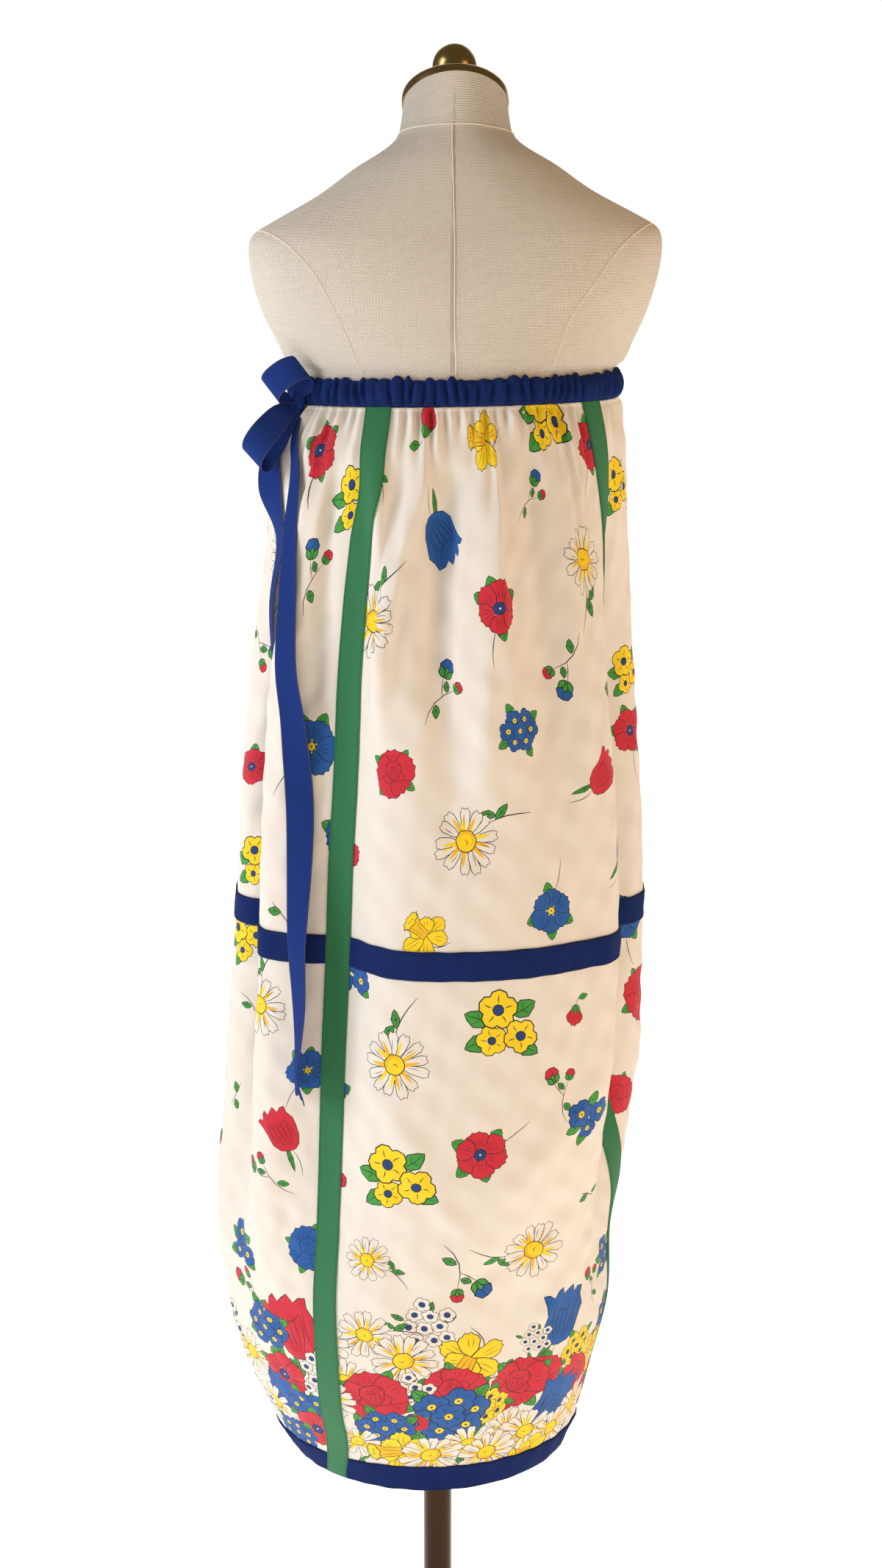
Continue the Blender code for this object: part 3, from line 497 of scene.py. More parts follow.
def outlined(ink, points, pen=penWidth):
    return [("line", points), (ink, inset(points, pen))]


def moved(shapes, degrees=0.0, dx=0.0, dy=0.0, size=1.0):
    return [(ink, turnedBy(points, degrees, dx, dy, size)) for ink, points in shapes]


def aimed(shapes, turn, reach):
    # moved out from the middle, the way they point
    a = math.radians(turn)
    return moved(shapes, turn, -reach * math.sin(a), reach * math.cos(a))


def penLine(points, width=0.6):
    return [("line", stroke(points, width))]


def leafShapes(length, width):
    shapes = outlined("green", petal("pointed", length, width))
    shapes += penLine([(0, 0), (width * 0.04, length * 0.5), (0, length * 0.9)])
    for side in (-1, 1):
        shapes += penLine([(0, 0.38 * length), (side * width * 0.17, 0.50 * length),
                           (side * width * 0.30, 0.56 * length)], 0.5)
    return shapes


def daisy(rng, ink="white"):
    shapes = penLine(curve((3, -20), (4, -32), (-7, -50), 5), stemWidth)
    shapes += moved(leafShapes(14, 7.5), 20 + 180, 3, -25) + moved(leafShapes(12, 7), 325, 5, -27)
    count = 13
    for k in range(count):
        turn = 360 / count * k + rng.uniform(-6, 6)
        length = rng.uniform(17.5, 21)
        shapes += moved(outlined(ink, petal("narrow", length, rng.uniform(7.2, 8.8), 4.5), 0.52), turn)
        if k % 4 != 3:
            side = rng.choice((-1.4, 1.2))
            lick = [(side - 1.6, 6), (side + 1.8, 6), (side + 1.0, 15), (side, 4.5 + length * 0.72),
                    (side - 0.9, 13)]
            shapes.append(("gold" if k % 3 else "yellow", turnedBy(lick, turn)))
        if k % 2:
            shapes += moved(penLine([(-0.8, 10), (-1.1, 14), (-0.6, 18)], 0.5), turn)
    shapes += outlined("yellow", disc(7.6, 13, 6, 0.04))
    shapes.append(("gold", turnedBy(disc(5.6, 9), 0, 1.1, -0.9)))
    shapes.append(("yellow", turnedBy(disc(4.7, 9), 0, 0.3, 0.0)))
    shapes += penLine([(-2.6, 0.8), (-0.8, -0.6), (1.2, 0.2)], 0.7)
    return shapes


def anemone(rng, ink="red"):
    shapes = penLine(curve((-4, -20), (-9, -32), (-7, -52), 5), stemWidth)
    for turn in (12, 62, 195, 300):
        shapes += aimed(leafShapes(15, 14), turn + rng.uniform(-8, 8), 15)
    for k in range(6):
        turn = 60 * k + rng.uniform(-7, 7)
        shapes += moved(outlined(ink, petal("ruffled", rng.uniform(19, 23), 20.5, 3.0)), turn)
        for lean in (-3.2, 0.5, 3.6):
            line = stroke([(lean * 0.5, 8.0), (lean * 0.9, 12), (lean * 1.15, 15.5 + 2 * (k % 2))], 0.55)
            shapes.append(("line", turnedBy(line, turn)))
    middle = "navy" if ink != "blue" else "yellow"
    shapes += outlined(middle, disc(6.0 if ink != "blue" else 4.2, 12, 6, 0.05))
    shapes.append(("white" if ink != "blue" else "navy", disc(1.0, 6)))
    return shapes


tulipOutline = [
    (-4, -23), (-11, -19), (-15, -10), (-15.5, 2), (-18.5, 10), (-23, 18), (-19, 20), (-14.5, 18), (-13, 24),
    (-9, 27), (-6, 21.5), (-2, 25), (3, 28), (6.5, 21.5), (11, 25), (16.5, 25), (16, 18), (19, 10),
    (17.5, 1), (15, -10), (10, -19), (4, -23)]


def tulip(rng, ink="blue"):
    shapes = penLine(curve((0, -22), (3, -38), (-5, -52), 5), stemWidth)
    shapes += moved(leafShapes(30, 6.5), 168, -4, -16)
    swell = rng.uniform(0.94, 1.06)
    shapes += outlined(ink, np.array(tulipOutline) * (swell, 1.0))
    for lean in (-8.5, -5, -1, 3, 7.5):
        shapes += penLine(curve((lean * 0.45, -17), (lean * 1.3, -4), (lean * 1.1, 10 + abs(lean) * 0.5)))
    for side in (-1, 1):
        shapes += penLine(curve((side * 12, -12), (side * 8, 4), (side * 12, 15)))
    shapes += penLine(curve((-10, 10), (-1, 2), (8, 12)))
    return shapes


def peony(rng, ink="red"):
    # a full rose: broad outer petals round a wrapped middle
    shapes = []
    for turn in (48, 132, 230, 318):
        shapes += aimed(leafShapes(17, 13), turn, 18)
    for k in range(5):
        turn = 72 * k + rng.uniform(-8, 8)
        shapes += moved(outlined(ink, petal("ruffled", rng.uniform(26, 31), 33, 0.0)), turn)
        for lean in (-5, 0, 5):
            shapes += moved(penLine([(lean * 0.8, 16), (lean, 20), (lean * 1.05, 23)], 0.55), turn)
    for turn, width in ((70, 26), (-75, 24)):
        shapes += moved(outlined(ink, petal("notched", 22, width, -9.0)), turn)
    shapes += outlined(ink, turnedBy(petal("round", 24, 23, -10.0), 4, 0, 1))
    for lean in (-6, -2.5, 1.5, 5.5):
        shapes += penLine(curve((lean * 0.5, -7), (lean * 1.1, -1), (lean, 5)))
    shapes += penLine(curve((-7, 8), (0, 2), (8, 9), 5), 0.7)
    shapes += penLine(curve((-4, 10), (1, 5), (5, 11), 5))
    return shapes


def daffodil(rng, ink="yellow"):
    # seen from the side: petals behind a frilled trumpet
    shapes = penLine(curve((12, -4), (22, -6), (27, 12), 5), stemWidth)
    for turn, length in ((-8, 24), (-62, 22), (-140, 25), (165, 27), (112, 17), (40, 18)):
        shapes += moved(outlined(ink, petal("ruffled", length, 15, 0.0)), turn + rng.uniform(-5, 5), 4, 0)
        for lean in (-1.6, 1.8):
            shapes += moved(penLine([(lean * 0.6, 9), (lean, 13), (lean * 1.1, length - 5)], 0.5), turn, 4, 0)
    tube = [(5, -5), (-8, -7), (-16, -11), (-16, 11), (-8, 6), (5, 5)]
    shapes += outlined("gold", np.array(tube, float))
    shapes += penLine([(3, 1), (-5, 1.5), (-12, 4)], 0.5)
    shapes += penLine([(3, -2), (-5, -3), (-12, -5)], 0.5)
    mouth = lobed(11.5, 0.84, 8, 8.0) * (0.42, 1.0)
    shapes += outlined("yellow", turnedBy(mouth, 8, -16, 0))
    for dy in (-3, 0, 3):
        shapes.append(("line", turnedBy(disc(0.75, 5), 0, -16, dy)))
    return shapes


def smallFlower(rng, ink, middle, size):
    shapes = outlined(ink, lobed(10.2, 0.80) * rng.uniform(0.94, 1.06))
    for k in range(5):
        shapes += moved(penLine([(3.4, 0), (5.0, 0.3), (7.2, 0)]), 72 * k)
    if middle == "yellow":
        shapes += outlined("yellow", disc(2.9, 9), 0.4) + [("navy", disc(0.9, 5))]
    else:
        shapes += outlined(middle, disc(2.9, 9), 0.4)
    return moved(shapes, rng.uniform(0, 72), size=size)


def primroses(rng, ink="yellow"):
    shapes = []
    for turn, dx, dy in ((70, -8, 0), (115, -7, -9), (240, 9, -10), (300, 6, 6)):
        shapes += moved(leafShapes(17, 13), turn, dx, dy)
    middle = "navy" if ink == "yellow" else "yellow"
    for dx, dy, size in ((-6, -10, 0.95), (-3, 9, 1.30), (12, -7, 1.15)):
        shapes += moved(smallFlower(rng, ink, middle, size), dx=dx, dy=dy)
    return shapes


def primroseHeap(rng, ink="blue"):
    shapes = []
    for k in range(4):
        shapes += aimed(leafShapes(15, 11), 90 * k + 30, 16)
    middle = "navy" if ink == "yellow" else "yellow"
    for k in range(7):
        reach = 0 if k == 6 else 15
        dx, dy = reach * math.cos(k * 1.05), reach * 0.8 * math.sin(k * 1.05)
        shapes += moved(smallFlower(rng, ink, middle, 1.0), dx=dx, dy=dy)
    return shapes


def forgetMeNots(rng, ink="white"):
    shapes = []
    for turn, dx, dy in ((60, -15, 9), (300, 15, 7), (200, -7, -17), (350, 5, 16)):
        shapes += moved(leafShapes(12, 6), turn, dx, dy)
    spots = [(0, 0), (12, 3), (-12, 2), (5, 13), (-7, 13), (7, -11), (-7, -11), (17, -8), (-1, 24), (18, 14)]
    for dx, dy in spots:
        turn = rng.uniform(0, 72)
        flower = outlined(ink, lobed(6.9, 0.80), 0.5) + outlined("navy", disc(2.9, 7), 0.35)
        shapes += moved(flower, turn, dx, dy)
    return shapes


def buds(rng, ink="blue"):
    shapes = penLine(curve((-10, 30), (6, 16), (0, -8), 5), stemWidth)
    shapes += penLine(curve((1, 6), (8, 2), (14, -4), 3), stemWidth)
    shapes += moved(leafShapes(12, 8), 60, -1, 13) + moved(leafShapes(10, 7), 240, 2, 0)
    for turn, dx, dy, size, colour in ((178, 0, -8, 0.9, "red"), (215, 13, -4, 1.3, ink)):
        bud = outlined(colour, petal("round", 13, 12)) + penLine([(0, 6), (1, 9), (0, 12)], 0.5)
        for lean, width, aside in ((0, 6, 0), (28, 5, -1), (-28, 5, 1)):
            bud += moved(outlined("green", petal("pointed", 8, width)), lean, aside)
        shapes += moved(bud, turn, dx, dy, size)
    return shapes


def rosebud(rng, ink="red"):
    shapes = penLine(curve((0, -12), (1, -22), (-8, -32)), stemWidth)
    shapes += moved(leafShapes(16, 11), 120, -2, -22)
    for turn, length, width in ((20, 24, 16), (-20, 24, 16), (0, 27, 18)):
        shapes += moved(outlined(ink, petal("ruffled", length, width)), turn, 0, -10)
    for lean in (-3, 2):
        shapes += penLine([(lean * 0.5, 0), (lean, 6), (lean * 0.8, 12)])
    for turn in (-34, 0, 34):
        shapes += moved(outlined("green", petal("pointed", 14, 7)), turn, 0, -14)
    return shapes


def leafPair(rng, ink="green"):
    shapes = penLine(curve((-8, 12), (-2, 2), (2, -12)), stemWidth)
    return shapes + moved(leafShapes(13, 9), 70, -2, 2) + moved(leafShapes(12, 8), 250, 1, -4)


motifs = {
    "daisy": daisy, "anemone": anemone, "tulip": tulip, "peony": peony, "daffodil": daffodil,
    "primroses": primroses, "primroseHeap": primroseHeap, "forgetMeNots": forgetMeNots,
    "buds": buds, "rosebud": rosebud, "leafPair": leafPair,
}

# Flowers one by one, in the places that show: panel, kind, ink, across, height, turn, size
placedMotifs = [
    (3, "anemone", "red", 0.80, 1.440, 10, 1.00),
    (3, "primroses", "yellow", 0.95, 1.400, 20, 1.44),
    (3, "daisy", "white", 0.52, 1.335, -12, 1.30),
    (3, "buds", "blue", 0.87, 1.330, 150, 1.22),
    (3, "buds", "blue", 0.43, 1.240, 30, 1.22),
    (3, "anemone", "blue", 0.91, 1.170, -30, 1.15),
    (3, "anemone", "red", 0.46, 1.125, 60, 0.80),
    (3, "primroses", "yellow", 0.51, 1.030, 10, 1.26),
    (3, "leafPair", "green", 0.87, 1.010, 20, 1.17),
    (3, "primroses", "yellow", 0.48, 0.950, 40, 1.26),
    (0, "rosebud", "red", 0.02, 1.070, -60, 0.90),
    (0, "rosebud", "red", 0.22, 1.465, -25, 1.00),
    (0, "daffodil", "yellow", 0.44, 1.450, -6, 1.05),
    (0, "primroses", "yellow", 0.72, 1.470, 10, 1.61),
    (0, "anemone", "red", 0.93, 1.440, -20, 0.95),
    (1, "primroses", "yellow", 0.12, 1.400, 20, 1.26),
    (0, "tulip", "blue", 0.29, 1.365, 215, 1.02),
    (0, "buds", "blue", 0.64, 1.395, 110, 0.94),
    (0, "daisy", "white", 0.81, 1.340, -8, 1.35),
    (0, "daisy", "white", 0.07, 1.290, 150, 1.40),
    (0, "anemone", "red", 0.48, 1.305, 0, 1.00),
    (0, "buds", "blue", 0.68, 1.250, -60, 1.15),
    (0, "buds", "blue", 0.31, 1.225, 120, 1.08),
    (0, "primroseHeap", "blue", 0.52, 1.195, 0, 0.95),
    (0, "peony", "red", 0.17, 1.155, 10, 0.78),
    (0, "tulip", "red", 0.77, 1.145, -58, 0.92),
    (0, "daisy", "white", 0.37, 1.095, 118, 1.40),
    (0, "anemone", "blue", 0.60, 1.025, 175, 0.95),
    (0, "daffodil", "yellow", 0.26, 1.010, -40, 1.00),
    (1, "anemone", "blue", 0.17, 0.970, 15, 1.00),
    (1, "anemone", "red", 0.23, 1.160, 15, 0.95),
    (1, "primroses", "yellow", 0.23, 1.220, 15, 1.13),
    (3, "daisy", "white", 0.81, 0.915, 170, 1.30),
    (3, "buds", "red", 0.54, 0.865, 20, 1.08),
    (3, "anemone", "blue", 0.94, 0.855, -20, stemWidth),
    (0, "primroses", "blue", 0.04, 0.960, 0, 1.13),
    (3, "tulip", "red", 0.88, 0.790, 28, 0.95),
    (3, "buds", "red", 0.84, 0.745, -150, 1.08),
    (3, "primroses", "blue", 0.68, 0.640, 0, 1.13),
    (3, "peony", "blue", 0.95, 0.665, 30, stemWidth),
    (0, "primroses", "yellow", 0.46, 0.920, -5, 1.58),
    (0, "rosebud", "red", 0.66, 0.920, 165, 0.70),
    (0, "buds", "red", 0.63, 0.845, 165, 1.08),
    (0, "primroses", "blue", 0.70, 0.810, 40, 1.13),
    (1, "peony", "red", 0.08, 0.780, 10, 0.80),
    (0, "daisy", "white", 0.19, 0.880, 170, 1.40),
    (0, "anemone", "red", 0.41, 0.790, 130, 1.06),
    (0, "primroses", "yellow", 0.20, 0.765, 10, 1.60),
    (0, "daisy", "white", 0.57, 0.670, -95, 1.40),
    (0, "leafPair", "green", 0.76, 0.715, 40, 1.17),
    (0, "primroses", "blue", 0.91, 0.605, 0, 1.13),
    (0, "buds", "blue", 0.36, 0.650, 0, 1.42),
    (0, "buds", "red", 0.82, 0.590, 160, 0.94),
    (0, "forgetMeNots", "white", 0.27, 0.590, 0, 1.29),
    (0, "daisy", "white", 0.11, 0.580, 100, 1.23),
    (0, "daisy", "white", 0.21, 0.550, 10, 1.47),
    (0, "daffodil", "yellow", 0.38, 0.545, 60, 1.52),
    (0, "peony", "red", 0.54, 0.495, -15, 1.32),
    (0, "peony", "red", 0.13, 0.495, 20, 1.29),
    (0, "primroseHeap", "blue", 0.34, 0.470, 15, 1.85),
    (0, "daisy", "white", 0.30, 0.405, 50, 1.45),
    (0, "daisy", "white", 0.48, 0.400, -20, 1.40),
    (0, "primroseHeap", "blue", 0.16, 0.450, 0, 1.30),
    (0, "leafPair", "green", 0.46, 0.520, 60, 1.80),
    (0, "peony", "red", 0.61, 0.500, 30, 1.00),
    (0, "daisy", "white", 0.60, 0.420, 10, 1.40),
    (0, "anemone", "red", 0.25, 0.460, 0, 0.55),
    (0, "daffodil", "yellow", 0.19, 0.410, 10, 1.45),
    (0, "daisy", "white", 0.41, 0.420, 20, 1.33),
    (0, "daisy", "white", 0.53, 0.430, -40, 1.26),
    (0, "daisy", "white", 0.07, 0.420, 0, 1.12),
    (0, "tulip", "blue", 0.67, 0.570, -18, 1.45),
    (0, "primroseHeap", "yellow", 0.74, 0.520, 0, 1.06),
    (0, "tulip", "blue", 0.68, 0.450, -30, 1.52),
    (0, "forgetMeNots", "white", 0.58, 0.550, 0, 0.82),
    (0, "daffodil", "yellow", 0.63, 0.385, 0, 1.06),
    (3, "tulip", "red", 0.89, 0.565, 12, 1.58),
    (3, "primroseHeap", "blue", 0.78, 0.555, 0, 1.25),
    (3, "anemone", "red", 0.82, 0.495, 0, 1.25),
    (3, "forgetMeNots", "white", 0.95, 0.505, 0, 1.25),
    (3, "daisy", "white", 0.66, 0.500, 30, 1.26),
    (3, "primroseHeap", "blue", 0.91, 0.455, 0, 1.25),
    (3, "buds", "red", 0.73, 0.595, -150, 1.22),
    (3, "daisy", "white", 0.70, 0.435, 0, 1.26),
    (0, "daisy", "white", 0.05, 0.515, 60, 1.26),
]

# What fills the rest of the cloth, in this order again and again
scatterOrder = [
    ("daisy", "white"), ("buds", "blue"), ("anemone", "red"), ("primroses", "yellow"),
    ("tulip", "blue"), ("rosebud", "red"), ("daffodil", "yellow"), ("leafPair", "green"),
    ("primroses", "blue"), ("peony", "red"), ("buds", "red"), ("daisy", "white"),
    ("tulip", "red"), ("forgetMeNots", "white"), ("anemone", "blue"),
]
borderOrder = [
    ("daisy", "white"), ("primroseHeap", "blue"), ("peony", "red"), ("forgetMeNots", "white"),
    ("daffodil", "yellow"), ("tulip", "blue"), ("daisy", "white"), ("primroseHeap", "yellow"),
    ("tulip", "red"), ("forgetMeNots", "white"), ("anemone", "red"), ("daisy", "white"),
]

printSettings = {
    "spacing": 0.086,  # metres between the loose flowers
    "borderSpacing": 0.037,
    "looseSize": 1.08,
    "borderSize": 1.26,
    "refWidth": 0.31,
    "fineColumn": 0.0026,
    "fineRow": 0.0040,
    "coarseColumn": 0.0044,
    "coarseRow": 0.0062,
    "fineDownTo": 1.330,
}


def flatPlace(panel, t, height, points):
    # millimetres on the flat cut to the panel's own map: across by reference width, and height
    z = height + points[:, 1] / 1000
    width = cutWidth(panel, np.clip(z, hemBand[1], casingBottom))
    x = t * printSettings["refWidth"] + points[:, 0] / 1000 * printSettings["refWidth"] / width
    return np.stack([x, z], -1)


def motifList(panel):
    # the listed flowers, then others set between them by rule
    rng = random.Random(7 + panel)
    found = [m[1:] for m in placedMotifs if m[0] == panel]
    spots = [(m[2] * float(cutWidth(panel, m[3])), m[3]) for m in found]
    bottoms = [float(np.interp(k, range(5), rng.sample([0.50, 0.53, 0.56, 0.545, 0.515], 5)))
               for k in range(5)]
    order = 0
    for z in np.arange(1.452, hemBand[0] + 0.006, -0.0085):
        width = float(cutWidth(panel, z))
        for k in range(34):
            x = rng.uniform(-0.01, width + 0.01)
            edge = float(np.interp(x / width * 4, range(5), bottoms))
            gap = printSettings["spacing"] if z > edge else printSettings["borderSpacing"]
            if any(math.hypot(x - a, z - b) < gap for a, b in spots):
                continue
            spots.append((x, z))
            kinds = scatterOrder if z > edge else borderOrder
            size = printSettings["looseSize"] if z > edge else printSettings["borderSize"]
            kind, ink = kinds[order % len(kinds)]
            order += 1
            found.append((kind, ink, x / width, z, rng.uniform(-70, 70), size * rng.uniform(0.9, 1.08)))
    return sorted(found, key=lambda m: -m[3])


def insideOutline(points, outline):
    # even-odd test of many points against one closed outline
    inside = np.zeros(len(points), bool)
    x, y = points[:, 0], points[:, 1]
    ends = np.roll(outline, -1, 0)
    for (ax, ay), (bx, by) in zip(outline, ends):
        if ay == by:
            continue
        crosses = (ay > y) != (by > y)
        inside ^= crosses & (x < (bx - ax) * (y - ay) / (by - ay) + ax)
    return inside


def panelBase(coarser=1.0):
    # the panel's own points: an even grid, finer where it is gathered
    ref = printSettings["refWidth"]
    top, bottom = gridHeights[0], gridHeights[-1]
    split = printSettings["fineDownTo"]
    points = []
    fineRows = np.arange(top, split, -printSettings["fineRow"])
    coarseRows = np.arange(split, bottom, -printSettings["coarseRow"] * coarser)
    for rows, column in ((fineRows, printSettings["fineColumn"]),
                         (coarseRows, printSettings["coarseColumn"] * (0.5 + 0.5 * coarser))):
        count = int(ref / column)
        for i, z in enumerate(rows):
            if z in (top, bottom):
                continue
            x = (np.arange(1, count) + 0.25 * (i % 2) - 0.125) * ref / count
            points += [(a, z) for a in x]
    count = int(ref / printSettings["fineColumn"])
    edge = [(ref * k / count, top) for k in range(count + 1)]
    sides = [z for z in np.concatenate([fineRows, coarseRows]) if bottom < z < top]
    edge += [(ref, z) for z in sides]
    edge += [(ref * (count - k) / count, bottom) for k in range(count + 1)]
    edge += [(0.0, z) for z in reversed(sides)]
    return points, edge


def rimLoop(points, triangles):
    # the vertices round the outside of a flat mesh, clockwise
    sides = {(t[k], t[k - 2]) for t in triangles.tolist() for k in range(3)}
    before = {b: a for a, b in sides if (b, a) not in sides}
    start = int(np.argmin(points[:, 0] - points[:, 1]))
    loop = [start]
    while before[loop[-1]] != start:
        loop.append(before[loop[-1]])
    return loop


def buildPanel(panel):
    ref, top, bottom = printSettings["refWidth"], gridHeights[0], gridHeights[-1]
    rng = random.Random(100 + panel)
    base, edge = panelBase()
    points = [Vector(p) for p in edge + base]
    edges = [(k, (k + 1) % len(edge)) for k in range(len(edge))]
    shapes = []
    for kind, ink, t, height, turn, size in motifList(panel):
        for inkName, outline in moved(motifs[kind](rng, ink), turn, size=size):
            flat = flatPlace(panel, t, height, outline)
            low, high = flat.min(0), flat.max(0)
            if high[0] < 0 or low[0] > ref or low[1] > top or high[1] < bottom:
                continue
            shapes.append((inkName, flat))
            first = len(points)
            points += [Vector(p) for p in flat]
            edges += [(first + k, first + (k + 1) % len(flat)) for k in range(len(flat))]
    flatPoints, _, triangles, *_ = delaunay_2d_cdt(points, edges, [], 0, 2e-6)
    flat = np.array([(p.x, p.y) for p in flatPoints])
    triangles = np.array(triangles)
    middles = flat[triangles].mean(1)
    near = 1e-7
    x, z = middles[:, 0], middles[:, 1]
    keep = (x > near) & (x < ref - near) & (z < top - near) & (z > bottom + near)
    triangles, middles = triangles[keep], middles[keep]
    used = np.unique(triangles)
    renumber = -np.ones(len(flat), int)
    renumber[used] = np.arange(len(used))
    flat, triangles = flat[used], renumber[triangles]
    order = np.argsort(middles[:, 1])
    sortedHeights = middles[order, 1]
    finish = np.zeros(len(triangles), int)
    for inkName, outline in shapes:
        low, high = np.searchsorted(sortedHeights, [outline[:, 1].min(), outline[:, 1].max()])
        some = order[low:high]
        some = some[(middles[some, 0] > outline[:, 0].min()) & (middles[some, 0] < outline[:, 0].max())]
        if len(some):
            finish[some[insideOutline(middles[some], outline)]] = inkOrder.index(inkName)
    rim = rimLoop(flat, triangles)
    # the inner skin has the same rim and plain points
    innerPoints = [Vector(flat[k]) for k in rim] + [Vector(p) for p in panelBase(1.3)[0]]
    innerEdges = [(k, (k + 1) % len(rim)) for k in range(len(rim))]
    innerFlat, _, innerTriangles, sources, *_ = delaunay_2d_cdt(innerPoints, innerEdges, [], 1, 1e-9)
    innerFlat = np.array([(p.x, p.y) for p in innerFlat])
    innerTriangles = np.array(innerTriangles)
    rimOf = {}
    for new, old in enumerate(sources):
        for k in old:
            if k < len(rim):
                rimOf[k] = new
    outer, outerNormals = onCloth(panel, flat[:, 0] / ref, flat[:, 1])
    inner, innerNormals = onCloth(panel, innerFlat[:, 0] / ref, innerFlat[:, 1])
    inner = inner - innerNormals * clothSettings["thickness"]
    outerTriangles = orient(outer, outerNormals, triangles)
    innerTriangles = orient(inner, -innerNormals, innerTriangles)
    count = len(outer)
    rimTriangles = []
    for k in range(len(rim)):
        a, b = rim[k], rim[(k + 1) % len(rim)]
        c, d = rimOf[k] + count, rimOf[(k + 1) % len(rim)] + count
        rimTriangles += [(a, c, b), (b, c, d)]
    allPoints = np.concatenate([outer, inner])
    allTriangles = np.concatenate([outerTriangles, innerTriangles + count, rimTriangles])
    finishes = np.concatenate([finish, np.zeros(len(innerTriangles) + len(rimTriangles), int)])
    corner = np.concatenate([outerNormals, -innerNormals])
    rimNormals = np.cross(
        allPoints[allTriangles[-len(rimTriangles):, 1]] - allPoints[allTriangles[-len(rimTriangles):, 0]],
        allPoints[allTriangles[-len(rimTriangles):, 2]] - allPoints[allTriangles[-len(rimTriangles):, 0]])
    rimNormals /= np.maximum(np.linalg.norm(rimNormals, axis=1, keepdims=True), 1e-12)
    loopNormals = np.concatenate([
        corner[allTriangles[:-len(rimTriangles)]].reshape(-1, 3), np.repeat(rimNormals, 3, 0)])
    flatMap = np.concatenate([flat, innerFlat])
    flatMap = np.stack([flatMap[:, 0] / ref * cutWidth(panel, flatMap[:, 1]), flatMap[:, 1]], -1)
    return meshPiece(panelNames[panel], allPoints, allTriangles, printFinishes, finishes, loopNormals,
                     flatMap)


def orient(points, normals, triangles):
    # turn each triangle to face the way of its corners' normals
    a, b, c = (points[triangles[:, k]] for k in range(3))
    facing = np.einsum("ij,ij->i", np.cross(b - a, c - a), normals[triangles].sum(1))
    triangles = triangles.copy()
    wrong = facing < 0
    triangles[wrong, 1], triangles[wrong, 2] = triangles[wrong, 2].copy(), triangles[wrong, 1].copy()
    return triangles


def tubeFaces(rings, sides):
    # quads between rings of points, and a face over each end
    faces = [(i * sides + j, i * sides + (j + 1) % sides, (i + 1) * sides + (j + 1) % sides,
              (i + 1) * sides + j) for i in range(rings - 1) for j in range(sides)]
    return faces + [tuple(reversed(range(sides))), tuple(range((rings - 1) * sides, rings * sides))]


def meshPiece(name, points, faces, finishes, faceFinish=None, loopNormals=None, flatMap=None):
    mesh = bpy.data.meshes.new(name)
    if isinstance(faces, np.ndarray):
        faces = faces.tolist()
    mesh.from_pydata(np.asarray(points).tolist(), [], faces)
    for finish in finishes:
        mesh.materials.append(finish)
    if faceFinish is not None:
        mesh.polygons.foreach_set("material_index", np.asarray(faceFinish, np.int32))
    mesh.shade_smooth()
    if flatMap is not None:
        layer = mesh.uv_layers.new(name="flatCloth")
        index = np.zeros(len(mesh.loops), np.int32)
        mesh.loops.foreach_get("vertex_index", index)
        layer.data.foreach_set("uv", np.asarray(flatMap, np.float32)[index].ravel())
    if loopNormals is not None:
        mesh.normals_split_custom_set(np.asarray(loopNormals).tolist())
    mesh.update()
    return addObject(name, mesh)


panels = []
for number in range(4):
    panels.append(buildPanel(number))
    print(panelNames[number], "cut and printed:", len(panels[-1].data.polygons), "triangles")


# Cotton grosgrain: matt, with fine crosswise ribs; the real ones are about 1 mm apart and are drawn
# at 1.6 mm so that they show
greenRibbon = wovenFinish("green grosgrain ribbon", "#277D4C", 0.74, (700.0, 200.0), 0.50, 0.0006,
                          Sheen_Weight=0.05)
# Piece-dyed navy cotton: deep and matt, a plain weave drawn at about 1 mm, twice its real spacing
navyCotton = wovenFinish("navy cotton", "#112760", 0.90, (330.0, 330.0), 0.30, 0.0004,
                         Specular_IOR_Level=0.15)
# The drawstring's cotton ribbon is the same navy as the casing, with painted light: its colour is painted a
# little brighter for where it hangs in the light. A duller thread runs along its woven edges
navyRibbon = wovenFinish("navy cotton ribbon", "#173276", 0.88, (420.0, 420.0), 0.25, 0.0003,
                         Specular_IOR_Level=0.15)
ribbonEdge = wovenFinish("navy ribbon's edge thread", "#3A3350", 0.85, (420.0, 420.0), 0.2, 0.0003)
# Sewing cotton in each band's colour, a shade darker than the band
greenThread = newMaterial("green sewing thread", "#1E5A38", 0.6)[0]
navyThread = newMaterial("navy sewing thread", "#141B4A", 0.6)[0]


def shellPiece(name, points, normals, thickness, finish, flatMap, edgeFinish=None):
    # a thin shell over a grid of points (rows, columns), closed round its edges
    rows, columns = points.shape[:2]
    outer = points.reshape(-1, 3)
    inner = (points - normals * thickness).reshape(-1, 3)
    count = rows * columns
    faces, finishes = [], []
    for i in range(rows - 1):
        for j in range(columns - 1):
            k = j + 1
            a, b, c, d = i * columns + j, i * columns + k, (i + 1) * columns + k, (i + 1) * columns + j
            faces += [(a, d, c, b), (a + count, b + count, c + count, d + count)]
            trim = edgeFinish is not None and (j == 0 or j == columns - 2)
            finishes += [1 if trim else 0] * 2
    last = (rows - 1) * columns
    for j in range(columns - 1):
        k = j + 1
        faces += [(j, k, k + count, j + count), (last + k, last + j, last + j + count, last + k + count)]
        finishes += [0, 0]
    for i in range(rows - 1):
        a, b = i * columns, (i + 1) * columns
        faces += [(b, a, a + count, b + count)]
        a, b = a + columns - 1, b + columns - 1
        faces += [(a, b, b + count, a + count)]
        finishes += [0, 0]
    flat = np.concatenate([flatMap.reshape(-1, 2)] * 2)
    piece = meshPiece(name, np.concatenate([outer, inner]), faces,
                      [finish] + ([edgeFinish] if edgeFinish else []), finishes, None, flat)
    piece.data.set_sharp_from_angle(angle=math.radians(50))
    return piece


